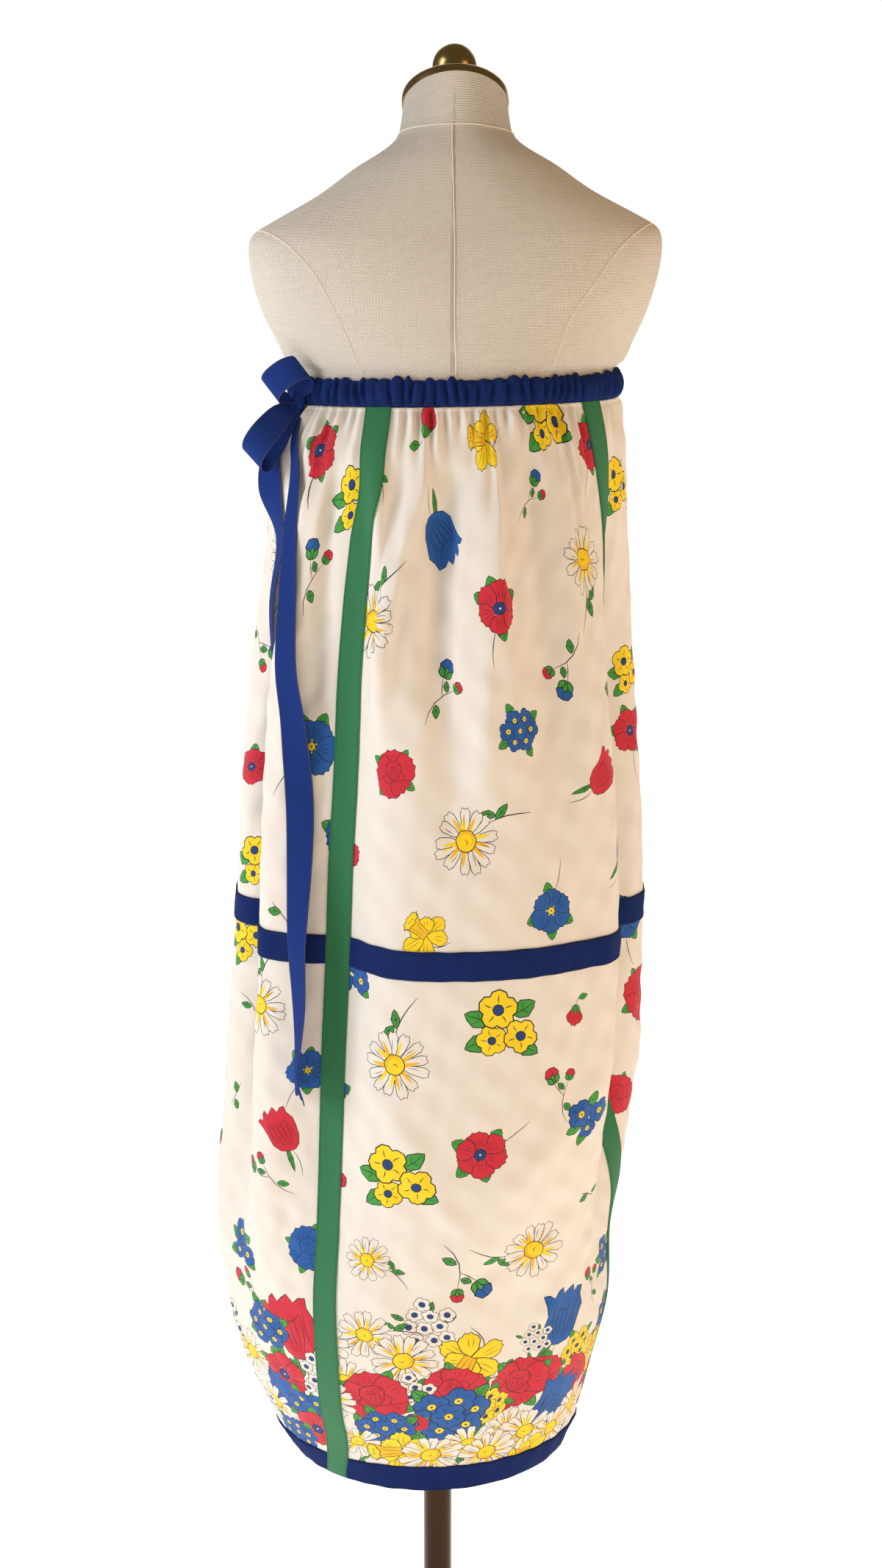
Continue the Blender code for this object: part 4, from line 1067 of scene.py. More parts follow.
bandSettings = {
    "thickness": 0.0010,
    "off": 0.0013,  # the ribbon's face stands this far off the cloth
    "columns": 11,
    "crown": 0.0003,
    "navyThickness": 0.0013,
    "navyCrown": 0.0007,
    "navyStep": 0.0035,
    "navyRows": 9,
}


def bandPoints(seam, offsets, heights, out):
    # places beside a seam, by metres of cloth either way
    points = np.zeros((len(heights), len(offsets), 3))
    normals = np.zeros_like(points)
    before = (seam - 1) % 4
    for j, offset in enumerate(offsets):
        panel = before if offset < 0 else seam
        widths = np.interp(-heights, -gridHeights, panelGrids[panel][2])
        t = 1 + offset / widths if offset < 0 else offset / widths
        points[:, j], normals[:, j] = onCloth(panel, t, heights, out)
    return points, normals


bandNames = ("bandBackLeft", "bandBackRight", "bandFrontRight", "bandFrontLeft")
bandNodes = ("band_back_left", "band_back_right", "band_front_right", "band_front_left")
bandHeights = np.linspace(gridHeights[0] - 0.0002, hemBand[1] + 0.0002, 281)
bands = []
for seam in range(4):
    offsets = np.linspace(-bandHalf, bandHalf, bandSettings["columns"])
    points, normals = bandPoints(seam, offsets, bandHeights, bandSettings["off"])
    points += normals * (bandSettings["crown"] * (1 - (offsets / bandHalf) ** 4))[None, :, None]
    flat = np.stack(np.meshgrid(offsets, bandHeights), -1)
    bands.append(shellPiece(bandNames[seam], points, normals, bandSettings["thickness"], greenRibbon, flat))
print("green bands laid")

panelSides = ("back", "right", "front", "left")
crossBands = []
for label, (top, bottom) in (("midBand", midBand), ("hemBand", hemBand)):
    for panel in range(4):
        heights = np.linspace(top, bottom, bandSettings["navyRows"])
        widths = np.interp(-heights, -gridHeights, panelGrids[panel][2])
        columns = int(widths.mean() / bandSettings["navyStep"])
        inside = bandHalf + seamGap
        share = np.linspace(0, 1, columns + 1)
        t = (inside + (widths[:, None] - 2 * inside) * share[None, :]) / widths[:, None]
        points, normals = onCloth(panel, t, np.repeat(heights[:, None], columns + 1, 1), bandSettings["off"])
        crown = 1 - np.abs(np.linspace(-1, 1, bandSettings["navyRows"])) ** 6
        points += normals * (bandSettings["navyCrown"] * crown)[:, None, None]
        flat = np.stack([t * widths[:, None], np.repeat(heights[:, None], columns + 1, 1)], -1)
        name = label + panelSides[panel].capitalize()
        crossBands.append(shellPiece(name, points, normals, bandSettings["navyThickness"], navyCotton, flat))
print("navy bands laid")


casingSettings = {
    "step": 0.0011,
    "ruche": (0.0065, 0.0140),  # metres from one ruche to the next
    "swell": 0.0072,
    "frill": 0.0064,
    "backing": 0.0019,
    "lean": 0.0020,
    "fullness": 1.5,  # metres of cloth to a metre round, for the weave's map
}


def casingPiece():
    rng = random.Random(5)
    row = dressRow(casingBottom)
    start, end = row["seams"][0], row["seams"][4]
    total = end - start
    count = int(total / casingSettings["step"])
    lengths = total * np.arange(count) / count
    x, y = (np.interp(lengths + start, row["lengths"], row[k]) for k in ("x", "y"))
    outward = outwardAt(row, lengths + start, 0.003)
    # ruches: round swells between narrow pinches, each a little different
    swell, lift = np.zeros(count), np.zeros(count)
    place = 0.0
    while place < total:
        step = rng.uniform(*casingSettings["ruche"])
        if total - place - step < casingSettings["ruche"][0]:
            step = total - place
        inside = (lengths >= place) & (lengths < place + step)
        f = (lengths[inside] - place) / step
        swell[inside] = rng.uniform(0.60, 1.0) * np.sin(np.pi * f) ** 0.85
        lift[inside] = rng.uniform(0.2, 1.0) * np.sin(np.pi * f) ** 0.6 - 0.45
        place += step
    nearBand = np.ones(count)
    for seam in row["seams"]:
        away = smoothStep((np.abs(lengths + start - seam) - 0.008) / 0.006)
        nearBand = np.minimum(nearBand, 0.35 + 0.65 * away)
    profile = [(0.0022, 0.00, 0.55)]
    for f in np.linspace(0.04, 1, 13):
        out = 0.0016 + casingSettings["swell"] * math.sin(math.pi * min(f * 1.02, 1)) ** 0.6
        profile.append((out, f, 0.82 + 0.18 * math.sin(math.pi * f)))
    backing = -casingSettings["backing"]
    profile.append((-0.0004, 1.02, 0.0))
    profile += [(backing, f, 0.0) for f in (0.94, 0.5, 0.06)]
    profile.append((-0.0004, 0.01, 0.0))
    points = []
    for out, f, ruche in profile:
        height = casingBottom + 0.0004 + (casingTop - casingBottom - 0.0008) * f
        shifted = lengths + casingSettings["lean"] * (2 * f - 1) * np.sin(lengths * 97 + 1)
        here = np.interp(shifted, lengths, swell, period=total)
        full = 1 - ruche * nearBand * 0.96 * (1 - here)
        wave = 0.00060 * ruche * np.sin(lengths * 1900 + 3.1 * f + 2 * np.sin(lengths * 310))
        amount = out * full + wave if out > 0 else np.full(count, out)
        raised = casingSettings["frill"] * lift * nearBand * smoothStep((f - 0.5) / 0.5)
        level = np.full(count, height) + (raised if out > -0.001 else 0.0)
        points.append(np.stack([x, y, level], -1) + outward * amount[:, None])
    points = dressLean(np.array(points))
    rows = len(profile)
    faces = []
    for i in range(rows):
        for j in range(count):
            a, b = i * count + j, i * count + (j + 1) % count
            c, d = ((i + 1) % rows) * count + (j + 1) % count, ((i + 1) % rows) * count + j
            faces.append((a, b, c, d))
    flat = np.zeros((rows, count, 2))
    flat[:, :, 0] = lengths[None, :] * casingSettings["fullness"]
    flat[:, :, 1] = (np.arange(rows) * 0.0024)[:, None]
    gathered = np.linalg.norm(np.roll(points[2:13], -1, 1) - points[2:13], axis=2).sum(1).mean()
    piece = meshPiece("gatheredCasing", points.reshape(-1, 3), faces, [navyCotton], None, None,
                      flat.reshape(-1, 2))
    seamLine = points[2] + outward * 0.00025
    return piece, float(gathered), seamLine


casing, casingLength, casingSeam = casingPiece()
print("casing gathered")


# Points along each loop's middle from the knot: right, up and towards the viewer, in millimetres
bowSettings = {
    "angle": -70.0,
    "height": 1.4800,
    "standOff": 0.0090,
    "knotHalf": (0.0060, 0.0092, 0.0116),
    "width": 0.027,
    "thickness": 0.0008,
    "upperLoop": [(-5.6, 2.6, 4.0), (-16, 6, 8), (-24, 9, 11), (-21, 17, 18), (-8, 27, 22), (4, 31, 20),
                  (8.5, 27, 15), (6, 17, 13), (1.0, 6.6, 6.4)],
    "upperAcross": (0.60, -0.74, 0.30),
    "lowerLoop": [(-4.5, -4.4, 5.4), (-15, -13, 20), (-29, -28, 33), (-39, -42, 34), (-41, -52, 26),
                  (-35, -54, 18), (-25, -42, 19), (-14, -25, 18), (-0.6, -7.0, 7.4)],
    "lowerAcross": (0.66, -0.70, 0.25),
    "tailTopWidth": 0.0080,
    "tailTopOffset": 0.0044,
    "tailTopDrop": 0.0008,
    "clearOfCloth": 0.0009,
}

# The free ends: height, angle round, stand-off, width, twist in degrees
frontTail = [
    (1.444, -60.0, 0.0040, 0.0110, -8.0), (1.405, -54.5, 0.0028, 0.0170, 0.0),
    (1.327, -49.5, 0.0022, 0.0250, 0.0), (1.247, -45.0, 0.0022, 0.027, -5.0),
    (1.190, -42.0, 0.0022, 0.027, -15.0), (1.130, -40.0, 0.0030, 0.027, -30.0),
    (1.064, -38.4, 0.0026, 0.027, -14.0), (0.988, -37.0, 0.0050, 0.027, 10.0),
    (0.930, -35.5, 0.0040, 0.027, 24.0), (0.890, -35.0, 0.0030, 0.027, 38.0),
    (0.860, -34.9, 0.0030, 0.027, 46.0), (0.833, -34.0, 0.0030, 0.027, 34.0),
]
backTail = [
    (1.440, -70.0, 0.0045, 0.022, -26.0), (1.400, -68.0, 0.0032, 0.027, -34.0),
    (1.350, -70.0, 0.0026, 0.027, 2.0), (1.280, -72.0, 0.0024, 0.027, 6.0),
    (1.190, -65.0, 0.0040, 0.025, 10.0), (1.100, -63.0, 0.0040, 0.022, 14.0),
    (1.000, -62.0, 0.0040, 0.020, 14.0), (0.900, -61.5, 0.0040, 0.020, 10.0),
    (0.809, -61.0, 0.0040, 0.020, 10.0),
]


def smoothPath(points, steps):
    # a smooth curve through points, steps places to each stretch
    points = np.array(points, float)
    found = []
    for i in range(len(points) - 1):
        a, b = points[i], points[i + 1]
        before = points[i - 1] if i else 2 * a - b
        after = points[i + 2] if i + 2 < len(points) else 2 * b - a
        for t in np.arange(steps) / steps:
            found.append(0.5 * (2 * a + (b - before) * t + (2 * before - 5 * a + 4 * b - after) * t**2
                                + (3 * a - before - 3 * b + after) * t**3))
    found.append(points[-1])
    return np.array(found)


def ribbonPiece(name, middles, acrosses, fray=False):
    # a ribbon along a path
    middles, acrosses = np.array(middles), np.array(acrosses)
    columns = np.array([-1.0, -0.94, -0.7, -0.35, 0.0, 0.35, 0.7, 0.94, 1.0])
    along = np.gradient(middles, axis=0)
    normals = np.cross(along, acrosses)
    normals /= np.linalg.norm(normals, axis=1, keepdims=True)
    points = middles[:, None] + acrosses[:, None] * columns[None, :, None] / 2
    if fray:
        # the cut end has lost some threads
        rng = random.Random(len(name))
        end = along[-1] / np.linalg.norm(along[-1])
        points[-1] += end * np.array([rng.uniform(-0.0030, 0.0045) for _ in columns])[:, None]
    flatRun = np.concatenate([[0.0], np.cumsum(np.linalg.norm(np.diff(middles, axis=0), axis=1))])
    flat = np.stack(np.meshgrid(columns * 0.0135, flatRun), -1)
    gridNormals = np.repeat(normals[:, None], len(columns), 1)
    points = points + gridNormals * bowSettings["thickness"] / 2
    return shellPiece(name, points, gridNormals, bowSettings["thickness"], navyRibbon, flat, ribbonEdge)


# The cloth as a search tree, every second row and column of its grids
treePoints, treeFaces = [], []
for grid, *_ in panelGrids:
    coarse = grid[::2, ::2]
    rows, columns = coarse.shape[:2]
    first = len(treePoints)
    treePoints += [Vector(p) for p in coarse.reshape(-1, 3)]
    for i in range(rows - 1):
        for j in range(columns - 1):
            a = first + i * columns + j
            treeFaces.append((a, a + 1, a + columns + 1, a + columns))
clothTree = BVHTree.FromPolygons(treePoints, treeFaces)


def clothReach(point):
    # how far a point stands outside the cloth, along the level line from the pole's axis
    section = smoothTable(dressSections, [point[2]])[0]
    middle = Vector(((section[1] - section[0]) / 2, 0.0, point[2]))
    away = Vector(point) - middle
    away.z = 0.0
    size = away.length
    hit = clothTree.ray_cast(middle + away.normalized() * 0.45, -away.normalized(), 0.45)
    return size - (0.45 - hit[3]) if hit[0] is not None else 1.0


def tailPath(top, rows):
    middles, acrosses = [np.array(top[0])], [np.array(top[1])]
    for height, angle, out, width, twist in rows:
        section = smoothTable(dressSections, [height])[0]
        a, w = math.radians(angle), math.radians(twist)
        away = np.array([math.sin(a), -math.cos(a), 0.0])
        sideways = np.array([math.cos(a), math.sin(a), 0.0])
        across = (sideways * math.cos(w) + away * math.sin(w)) * width
        middle = np.array([(section[1] - section[0]) / 2, 0.0, height]) + away * 0.10
        while True:
            gaps = []
            for side in (-0.5, -0.25, 0.0, 0.25, 0.5):
                p = middle + across * side
                dx, dy = p[0] - (section[1] - section[0]) / 2, p[1]
                turn = math.degrees(math.atan2(dx, -dy))
                gaps.append(math.hypot(dx, dy) - float(outlineReach(np.array([turn]), height, section)[0]))
            if min(gaps) >= out:
                break
            middle = middle + away * 0.0005
        middles.append(dressLean(middle))
        acrosses.append(across)
    middles, acrosses = smoothPath(middles, 9), smoothPath(acrosses, 9)
    # rest on the gathered cloth: move out where a ridge would come through
    lift = np.zeros(len(middles))
    for i, (middle, across) in enumerate(zip(middles, acrosses)):
        if i < 4:
            continue
        gap = min(clothReach(middle + across * side) for side in (-0.5, -0.25, 0.0, 0.25, 0.5))
        lift[i] = max(0.0, bowSettings["clearOfCloth"] - gap)
    wide = np.array([lift[max(i - 4, 0):i + 5].max() for i in range(len(lift))])
    wide = np.convolve(np.pad(wide, 4, "edge"), np.ones(9) / 9, "valid")
    for i in range(4, len(middles)):
        section = smoothTable(dressSections, [middles[i][2]])[0]
        away = middles[i] - np.array([(section[1] - section[0]) / 2, 0.0, middles[i][2]])
        middles[i] += away / np.linalg.norm(away) * max(wide[i], lift[i])
    return middles, acrosses


def knotPlace():
    row = dressRow(casingBottom)
    angles = np.arange(-360.0, 1080.0, 0.5)
    length = np.interp(bowSettings["angle"], angles, row["lengths"])
    x, y = (np.interp(length, row["lengths"], row[k]) for k in ("x", "y"))
    normal = outwardAt(row, length, 0.003)
    return np.array([x, y, bowSettings["height"]]) + normal * bowSettings["standOff"], normal


def buildBow():
    knot, normal = knotPlace()
    sideways = np.array([-normal[1], normal[0], 0.0])
    pieces = []
    # the knot: a rounded wrap with soft pulls across it
    half = bowSettings["knotHalf"]
    rings, sides = 20, 32
    points = []
    for i in range(1, rings):
        polar = math.pi * i / rings
        for j in range(sides):
            turn = 2 * math.pi * j / sides
            reach = math.sin(polar) ** 0.55 * (1 + 0.05 * math.sin(3 * turn + 5 * polar))
            place = normal * half[0] * reach * math.cos(turn) + sideways * half[1] * reach * math.sin(turn)
            points.append(knot + place + np.array([0, 0, half[2] * math.cos(polar) * 0.97]))
    faces = []
    for i in range(rings - 2):
        for j in range(sides):
            a, b = i * sides + j, i * sides + (j + 1) % sides
            faces.append((a, a + sides, b + sides, b))
    last = (rings - 2) * sides
    faces += [tuple(range(sides)), tuple(reversed(range(last, last + sides)))]
    flat = np.array([(0.0005 * (k % sides), 0.001 * (k // sides)) for k in range(len(points))])
    pieces.append(meshPiece("bowKnot", points, faces, [navyRibbon], None, None, flat))
    for name, path, across in (("bowLoopUpper", bowSettings["upperLoop"], bowSettings["upperAcross"]),
                               ("bowLoopLower", bowSettings["lowerLoop"], bowSettings["lowerAcross"])):
        across = np.array(across) / np.linalg.norm(across)
        level = np.array([across[0], -across[2], across[1]]) * bowSettings["width"]
        middles = [knot + np.array([r, -near, up]) / 1000 for r, up, near in path]
        drawn = [0.42, 0.85] + [1.0] * (len(path) - 4) + [0.85, 0.42]
        middles = smoothPath(middles, 7)
        acrosses = smoothPath([level * d for d in drawn], 7)
        pieces.append(ribbonPiece(name, middles, acrosses))
    foot = half[2] * math.cos(math.pi / 6) + bowSettings["tailTopDrop"]
    for name, rows, side in (("bowTailFront", frontTail, 1), ("bowTailBack", backTail, -1)):
        top = (knot - np.array([0, 0, foot]) + sideways * side * bowSettings["tailTopOffset"],
               sideways * bowSettings["tailTopWidth"])
        middles, acrosses = tailPath(top, rows)
        pieces.append(ribbonPiece(name, middles, acrosses, fray=True))
    return pieces


bow = buildBow()
print("bow tied")


# Rings of the form: height, half width, back, front, squareness, slope
formRings = [
    (1.040, 0.1120, 0.0780, 0.0760, 2.2, 0.0), (1.046, 0.1260, 0.0900, 0.0870, 2.2, 0.0),
    (1.065, 0.1420, 0.1000, 0.0960, 2.2, 0.0), (1.120, 0.1530, 0.1080, 0.1020, 2.2, 0.0),
    (1.200, 0.1400, 0.0960, 0.0960, 2.2, 0.0), (1.275, 0.1200, 0.0810, 0.0900, 2.1, 0.0),
    (1.350, 0.1300, 0.0900, 0.1080, 2.1, 0.0), (1.420, 0.1440, 0.1040, 0.1260, 2.1, 0.0),
    (1.455, 0.1470, 0.1090, 0.1230, 2.0, 0.0), (1.474, 0.1475, 0.1105, 0.1120, 2.0, 0.0),
    (1.486, 0.1522, 0.1153, 0.1162, 2.0, 0.0), (1.508, 0.1522, 0.1153, 0.1162, 2.0, 0.0),
    (1.514, 0.1610, 0.1170, 0.1110, 2.0, 0.0), (1.534, 0.1705, 0.1180, 0.1040, 2.1, 0.0),
    (1.555, 0.1805, 0.1170, 0.0960, 2.2, 0.0), (1.580, 0.1890, 0.1150, 0.0880, 2.3, 0.0),
    (1.606, 0.1940, 0.1090, 0.0800, 2.4, 0.0), (1.624, 0.1940, 0.1030, 0.0740, 2.4, 0.0),
    (1.634, 0.1890, 0.0990, 0.0710, 2.3, 0.0), (1.643, 0.1740, 0.0950, 0.0690, 2.2, 0.01),
    (1.667, 0.1285, 0.0850, 0.0640, 2.1, 0.03), (1.690, 0.0944, 0.0740, 0.0570, 2.0, 0.06),
    (1.706, 0.0660, 0.0630, 0.0520, 2.0, 0.10), (1.716, 0.0548, 0.0560, 0.0500, 2.0, 0.14),
    (1.727, 0.0510, 0.0520, 0.0490, 2.0, 0.28), (1.744, 0.0485, 0.0500, 0.0500, 2.0, 0.5317),
]

formSettings = {
    "steps": 6,  # rings to each stretch of the table
    "segments": 144,
    "lean": 0.018,
    "leanStart": 1.510,
    "neckTilt": 28.0,
    "neckTop": 1.7440,
}

# Cream linen: a dry, slightly hairy plain weave with thick and thin threads, about 0.6 mm apart and
# drawn at 1.2 mm so that they show
linen = wovenFinish("cream linen", "#F4ECDA", 0.92, (260.0, 260.0), 0.85, 0.0009,
                    Sheen_Weight=0.12, Sheen_Roughness=0.6)
linenSeam = wovenFinish("linen seam", "#E9E0CC", 0.95, (600.0, 600.0), 0.5, 0.0005)


def formPoints(angles, rows, heights):
    # places on the form at these angles, one ring to each height
    points = np.zeros((len(heights), len(angles), 3))
    for i, (height, (half, back, front, square, rise)) in enumerate(zip(heights, rows)):
        halfY = np.where(np.abs(turnBetween(angles, 0.0)) <= 90, back, front)
        across = np.abs(np.sin(np.radians(angles))) / half
        along = np.abs(np.cos(np.radians(angles))) / halfY
        reach = (across**square + along**square) ** (-1.0 / square)
        x = formX + reach * np.sin(np.radians(angles))
        y = -reach * np.cos(np.radians(angles))
        points[i] = np.stack([x, y, height - rise * y], -1)
    amount = smoothStep((points[..., 2] - formSettings["leanStart"]) / 0.08)
    points[..., 2] += formSettings["lean"] * amount * (points[..., 0] - formX)
    return points


def buildForm():
    knots = [row[0] for row in formRings]
    heights = [knots[0]]
    for low, high in zip(knots[:-1], knots[1:]):
        heights += list(low + (high - low) * np.arange(1, formSettings["steps"] + 1) / formSettings["steps"])
    heights = np.array(heights)
    # smooth, but straight from ring to ring where the casing grips it, so that it stays inside
    rows = smoothTable(formRings, heights)
    straight = np.array([np.interp(heights, knots, [r[k] for r in formRings]) for k in range(1, 6)]).T
    tight = ((heights > 1.470) & (heights < 1.516))[:, None]
    rows = np.where(tight, straight, rows)
    angles = np.arange(formSettings["segments"]) * 360.0 / formSettings["segments"]
    points = formPoints(angles, rows, heights)
    faces = tubeFaces(len(heights), formSettings["segments"])
    flat = np.stack(np.meshgrid(angles / 360.0, heights), -1)
    flat[..., 0] *= 0.80
    form = meshPiece("formTorso", points.reshape(-1, 3), faces, [linen], None, None, flat.reshape(-1, 2))
    form.data.set_sharp_from_angle(angle=math.radians(60))
    return form, BVHTree.FromPolygons([Vector(p) for p in points.reshape(-1, 3)], faces)


form, formTree = buildForm()
print("dress form turned")

# Dark lacquered bronze: glossy, brown in the reflections, faintly worn in patches
bronze, bronzeTree, bronzeShader = newMaterial("dark lacquered bronze", "#83744B", 0.24, Metallic=1.0)
bronzePlace = addNode(bronzeTree, "ShaderNodeTexCoord")
bronzeNoise = addNode(bronzeTree, "ShaderNodeTexNoise", {"Scale": 60.0, "Detail": 4.0},
                      {"Vector": bronzePlace.outputs["Object"]})
bronzeRough = addNode(bronzeTree, "ShaderNodeMapRange", {"To Min": 0.15, "To Max": 0.34},
                      {"Value": bronzeNoise.outputs["Fac"]})
bronzeTree.links.new(bronzeRough.outputs["Result"], bronzeShader.inputs["Roughness"])

# The pole, its collar and the base are browner: patinated bronze under the same lacquer
poleBronze = newMaterial("brown patinated bronze", "#3A2A1F", 0.28, Metallic=1.0)[0]


def turnedPiece(name, profile, segments, finish, centre=(0, 0, 0), axis=(0, 0, 1)):
    # spun about an axis; profile holds radius and height along it
    turn = Vector((0, 0, 1)).rotation_difference(Vector(axis).normalized())
    points = []
    for radius, along in profile:
        for k in range(segments):
            a = 2 * math.pi * k / segments
            points.append(Vector(centre) + turn @ Vector((radius * math.cos(a), radius * math.sin(a), along)))
    faces = tubeFaces(len(profile), segments)
    piece = meshPiece(name, [tuple(p) for p in points], faces, [finish])
    piece.data.set_sharp_from_angle(angle=math.radians(40))
    return piece


def roundedProfile(corners, radius, steps=5):
    # a profile whose inner corners are rounded
    found = [np.array(corners[0], float)]
    for a, b, c in zip(corners[:-2], corners[1:-1], corners[2:]):
        a, b, c = (np.array(p, float) for p in (a, b, c))
        cut = min(radius, np.linalg.norm(a - b) * 0.45, np.linalg.norm(c - b) * 0.45)
        start, end = b + (a - b) / np.linalg.norm(a - b) * cut, b + (c - b) / np.linalg.norm(c - b) * cut
        for t in np.linspace(0, 1, steps):
            found.append((1 - t) ** 2 * start + 2 * t * (1 - t) * b + t * t * end)
    found.append(np.array(corners[-1], float))
    return [tuple(p) for p in found]


standSettings = {
    "capRadius": 0.0494,
    "knobRadius": 0.0208,
    "poleRadius": 0.0157,
    "baseRadius": 0.160,
    "gap": 0.0003,
}
capAxis = (-formSettings["lean"], math.tan(math.radians(formSettings["neckTilt"])), 1.0)
capCentre = (formX, 0.0, formSettings["neckTop"])
cap = standSettings["capRadius"]
knob = standSettings["knobRadius"]
capProfile = [(cap - 0.0010, standSettings["gap"]), (cap + 0.0004, 0.0014), (cap + 0.0002, 0.0104),
              (cap - 0.0034, 0.0150), (0.0330, 0.0188), (0.0180, 0.0202), (0.0060, 0.0202)]
capPiece = turnedPiece("neckCap", roundedProfile(capProfile, 0.0030), 96, bronze, capCentre, capAxis)
knobProfile = [(0.0170, 0.0202 + standSettings["gap"]), (0.0152, 0.0214), (0.0142, 0.0234)]
for k in range(30):
    polar = math.radians(39 + 4.85 * k)
    knobProfile.append((knob * math.sin(polar), 0.0413 - knob * math.cos(polar)))
knobPiece = turnedPiece("capKnob", knobProfile, 64, bronze, capCentre, capAxis)
pole = standSettings["poleRadius"]
poleProfile = [(pole, 0.0483), (pole, 0.40), (pole, 0.75), (pole, 1.0397)]
polePiece = turnedPiece("standPole", poleProfile, 64, poleBronze)
collarProfile = [(0.0300, 0.0123), (0.0300, 0.0220), (0.0212, 0.0330), (0.0205, 0.0480), (0.0170, 0.0480)]
collarPiece = turnedPiece("poleCollar", roundedProfile(collarProfile, 0.0030), 64, poleBronze)
base = standSettings["baseRadius"]
baseProfile = [(base - 0.001, 0.0), (base, 0.0010), (base, 0.0090), (base - 0.004, 0.0120), (0.030, 0.0120)]
basePiece = turnedPiece("baseDisc", roundedProfile(baseProfile, 0.0025), 128, poleBronze)
print("stand turned")


# Seams of the form, as points that are set on its surface: neck, middle of the back, then each side
neckSeam = [(-0.028, -0.030, 1.722), (-0.013, -0.046, 1.724), (0.004, -0.054, 1.725), (0.017, -0.056, 1.725),
            (0.034, -0.053, 1.725), (0.049, -0.045, 1.723), (0.064, -0.028, 1.721), (0.070, 0.0, 1.716),
            (0.064, 0.028, 1.708), (0.049, 0.045, 1.702), (0.017, 0.054, 1.698), (-0.013, 0.045, 1.702),
            (-0.028, 0.028, 1.708), (-0.034, 0.0, 1.716), (-0.028, -0.030, 1.722)]
backSeam = [(0.014, -0.055, 1.725), (0.014, -0.068, 1.704), (0.015, -0.087, 1.665), (0.016, -0.102, 1.627),
            (0.016, -0.113, 1.589), (0.016, -0.117, 1.551), (0.017, -0.117, 1.519), (0.017, -0.115, 1.506)]
leftSeam = [(-0.168, -0.028, 1.636), (-0.154, -0.051, 1.630), (-0.136, -0.073, 1.620),
            (-0.120, -0.086, 1.605), (-0.107, -0.093, 1.589), (-0.096, -0.098, 1.569),
            (-0.085, -0.099, 1.547), (-0.076, -0.099, 1.525), (-0.067, -0.096, 1.506)]
rightSeam = [(0.200, -0.024, 1.639), (0.184, -0.060, 1.632), (0.168, -0.077, 1.619), (0.154, -0.087, 1.602),
             (0.142, -0.093, 1.585), (0.130, -0.098, 1.569), (0.119, -0.100, 1.551), (0.112, -0.100, 1.531),
             (0.105, -0.097, 1.513)]
seamSettings = {
    "ridge": 0.0004,
    "ridgeWidth": 0.0016,
    "spacing": 0.0030,  # from one stitch to the next
    "stitch": 0.0022,
    "thread": 0.00024,
    "formStitch": 0.0025,
    "formThread": 0.00034,
    "greenInset": 0.0013,  # from the band's edge to its stitches
    "navyInset": 0.0016,
    "proud": 0.0001,  # how far a stitch's middle stands off what it sews
}


def onForm(path, steps=8):
    # a smooth path laid on the form, with the surface's normals
    places, normals = [], []
    for point in smoothPath(path, steps):
        spot, normal, *_ = formTree.find_nearest(Vector(point))
        places.append(np.array(spot))
        normals.append(np.array(normal))
    return np.array(places), np.array(normals)


def seamRidge(name, paths):
    # the seam itself: a low rounded ridge where two pieces of linen meet
    points, faces = [], []
    for places, normals in paths:
        along = np.gradient(places, axis=0)
        across = np.cross(normals, along)
        across /= np.linalg.norm(across, axis=1, keepdims=True)
        half, ridge = seamSettings["ridgeWidth"] / 2, seamSettings["ridge"]
        rings = [places + across * half * side + normals * rise for side, rise in (
            (-1.0, -0.0004), (-0.6, ridge * 0.8), (0.0, ridge), (0.6, ridge * 0.8), (1.0, -0.0004))]
        first, count = len(points), len(places)
        points += [tuple(p) for ring in rings for p in ring]
        for r in range(5):
            for k in range(count - 1):
                a, b = first + r * count + k, first + ((r + 1) % 5) * count + k
                faces.append((a, a + 1, b + 1, b))
        faces += [tuple(first + r * count for r in range(5)),
                  tuple(first + r * count + count - 1 for r in reversed(range(5)))]
    flat = np.array([(p[0], p[2]) for p in points])
    return meshPiece(name, points, faces, [linenSeam], None, None, flat)


def stitchTree():
    # short threads set along a path, one every so often
    tree = bpy.data.node_groups.new("stitchRun", "GeometryNodeTree")
    sockets = tree.interface
    sockets.new_socket("Geometry", in_out="INPUT", socket_type="NodeSocketGeometry")
    for name in ("Spacing", "Stitch Length", "Thread Radius"):
        sockets.new_socket(name, in_out="INPUT", socket_type="NodeSocketFloat")
    sockets.new_socket("Thread", in_out="INPUT", socket_type="NodeSocketMaterial")
    sockets.new_socket("Geometry", in_out="OUTPUT", socket_type="NodeSocketGeometry")
    start = addNode(tree, "NodeGroupInput")
    path = addNode(tree, "GeometryNodeMeshToCurve", None, {"Mesh": start.outputs["Geometry"]})
    spots = addNode(tree, "GeometryNodeCurveToPoints", {"mode": "LENGTH"}, {
        "Curve": path.outputs["Curve"], "Length": start.outputs["Spacing"]})
    thread = addNode(tree, "GeometryNodeMeshCylinder", {"Vertices": 5}, {
        "Radius": start.outputs["Thread Radius"], "Depth": start.outputs["Stitch Length"]})
    row = addNode(tree, "GeometryNodeInstanceOnPoints", None, {
        "Points": spots.outputs["Points"], "Instance": thread.outputs["Mesh"],
        "Rotation": spots.outputs["Rotation"]})
    real = addNode(tree, "GeometryNodeRealizeInstances", None, {"Geometry": row.outputs["Instances"]})
    dyed = addNode(tree, "GeometryNodeSetMaterial", None, {
        "Geometry": real.outputs["Geometry"], "Material": start.outputs["Thread"]})
    addNode(tree, "NodeGroupOutput", None, {"Geometry": dyed.outputs["Geometry"]})
    return tree


stitchNodes = stitchTree()


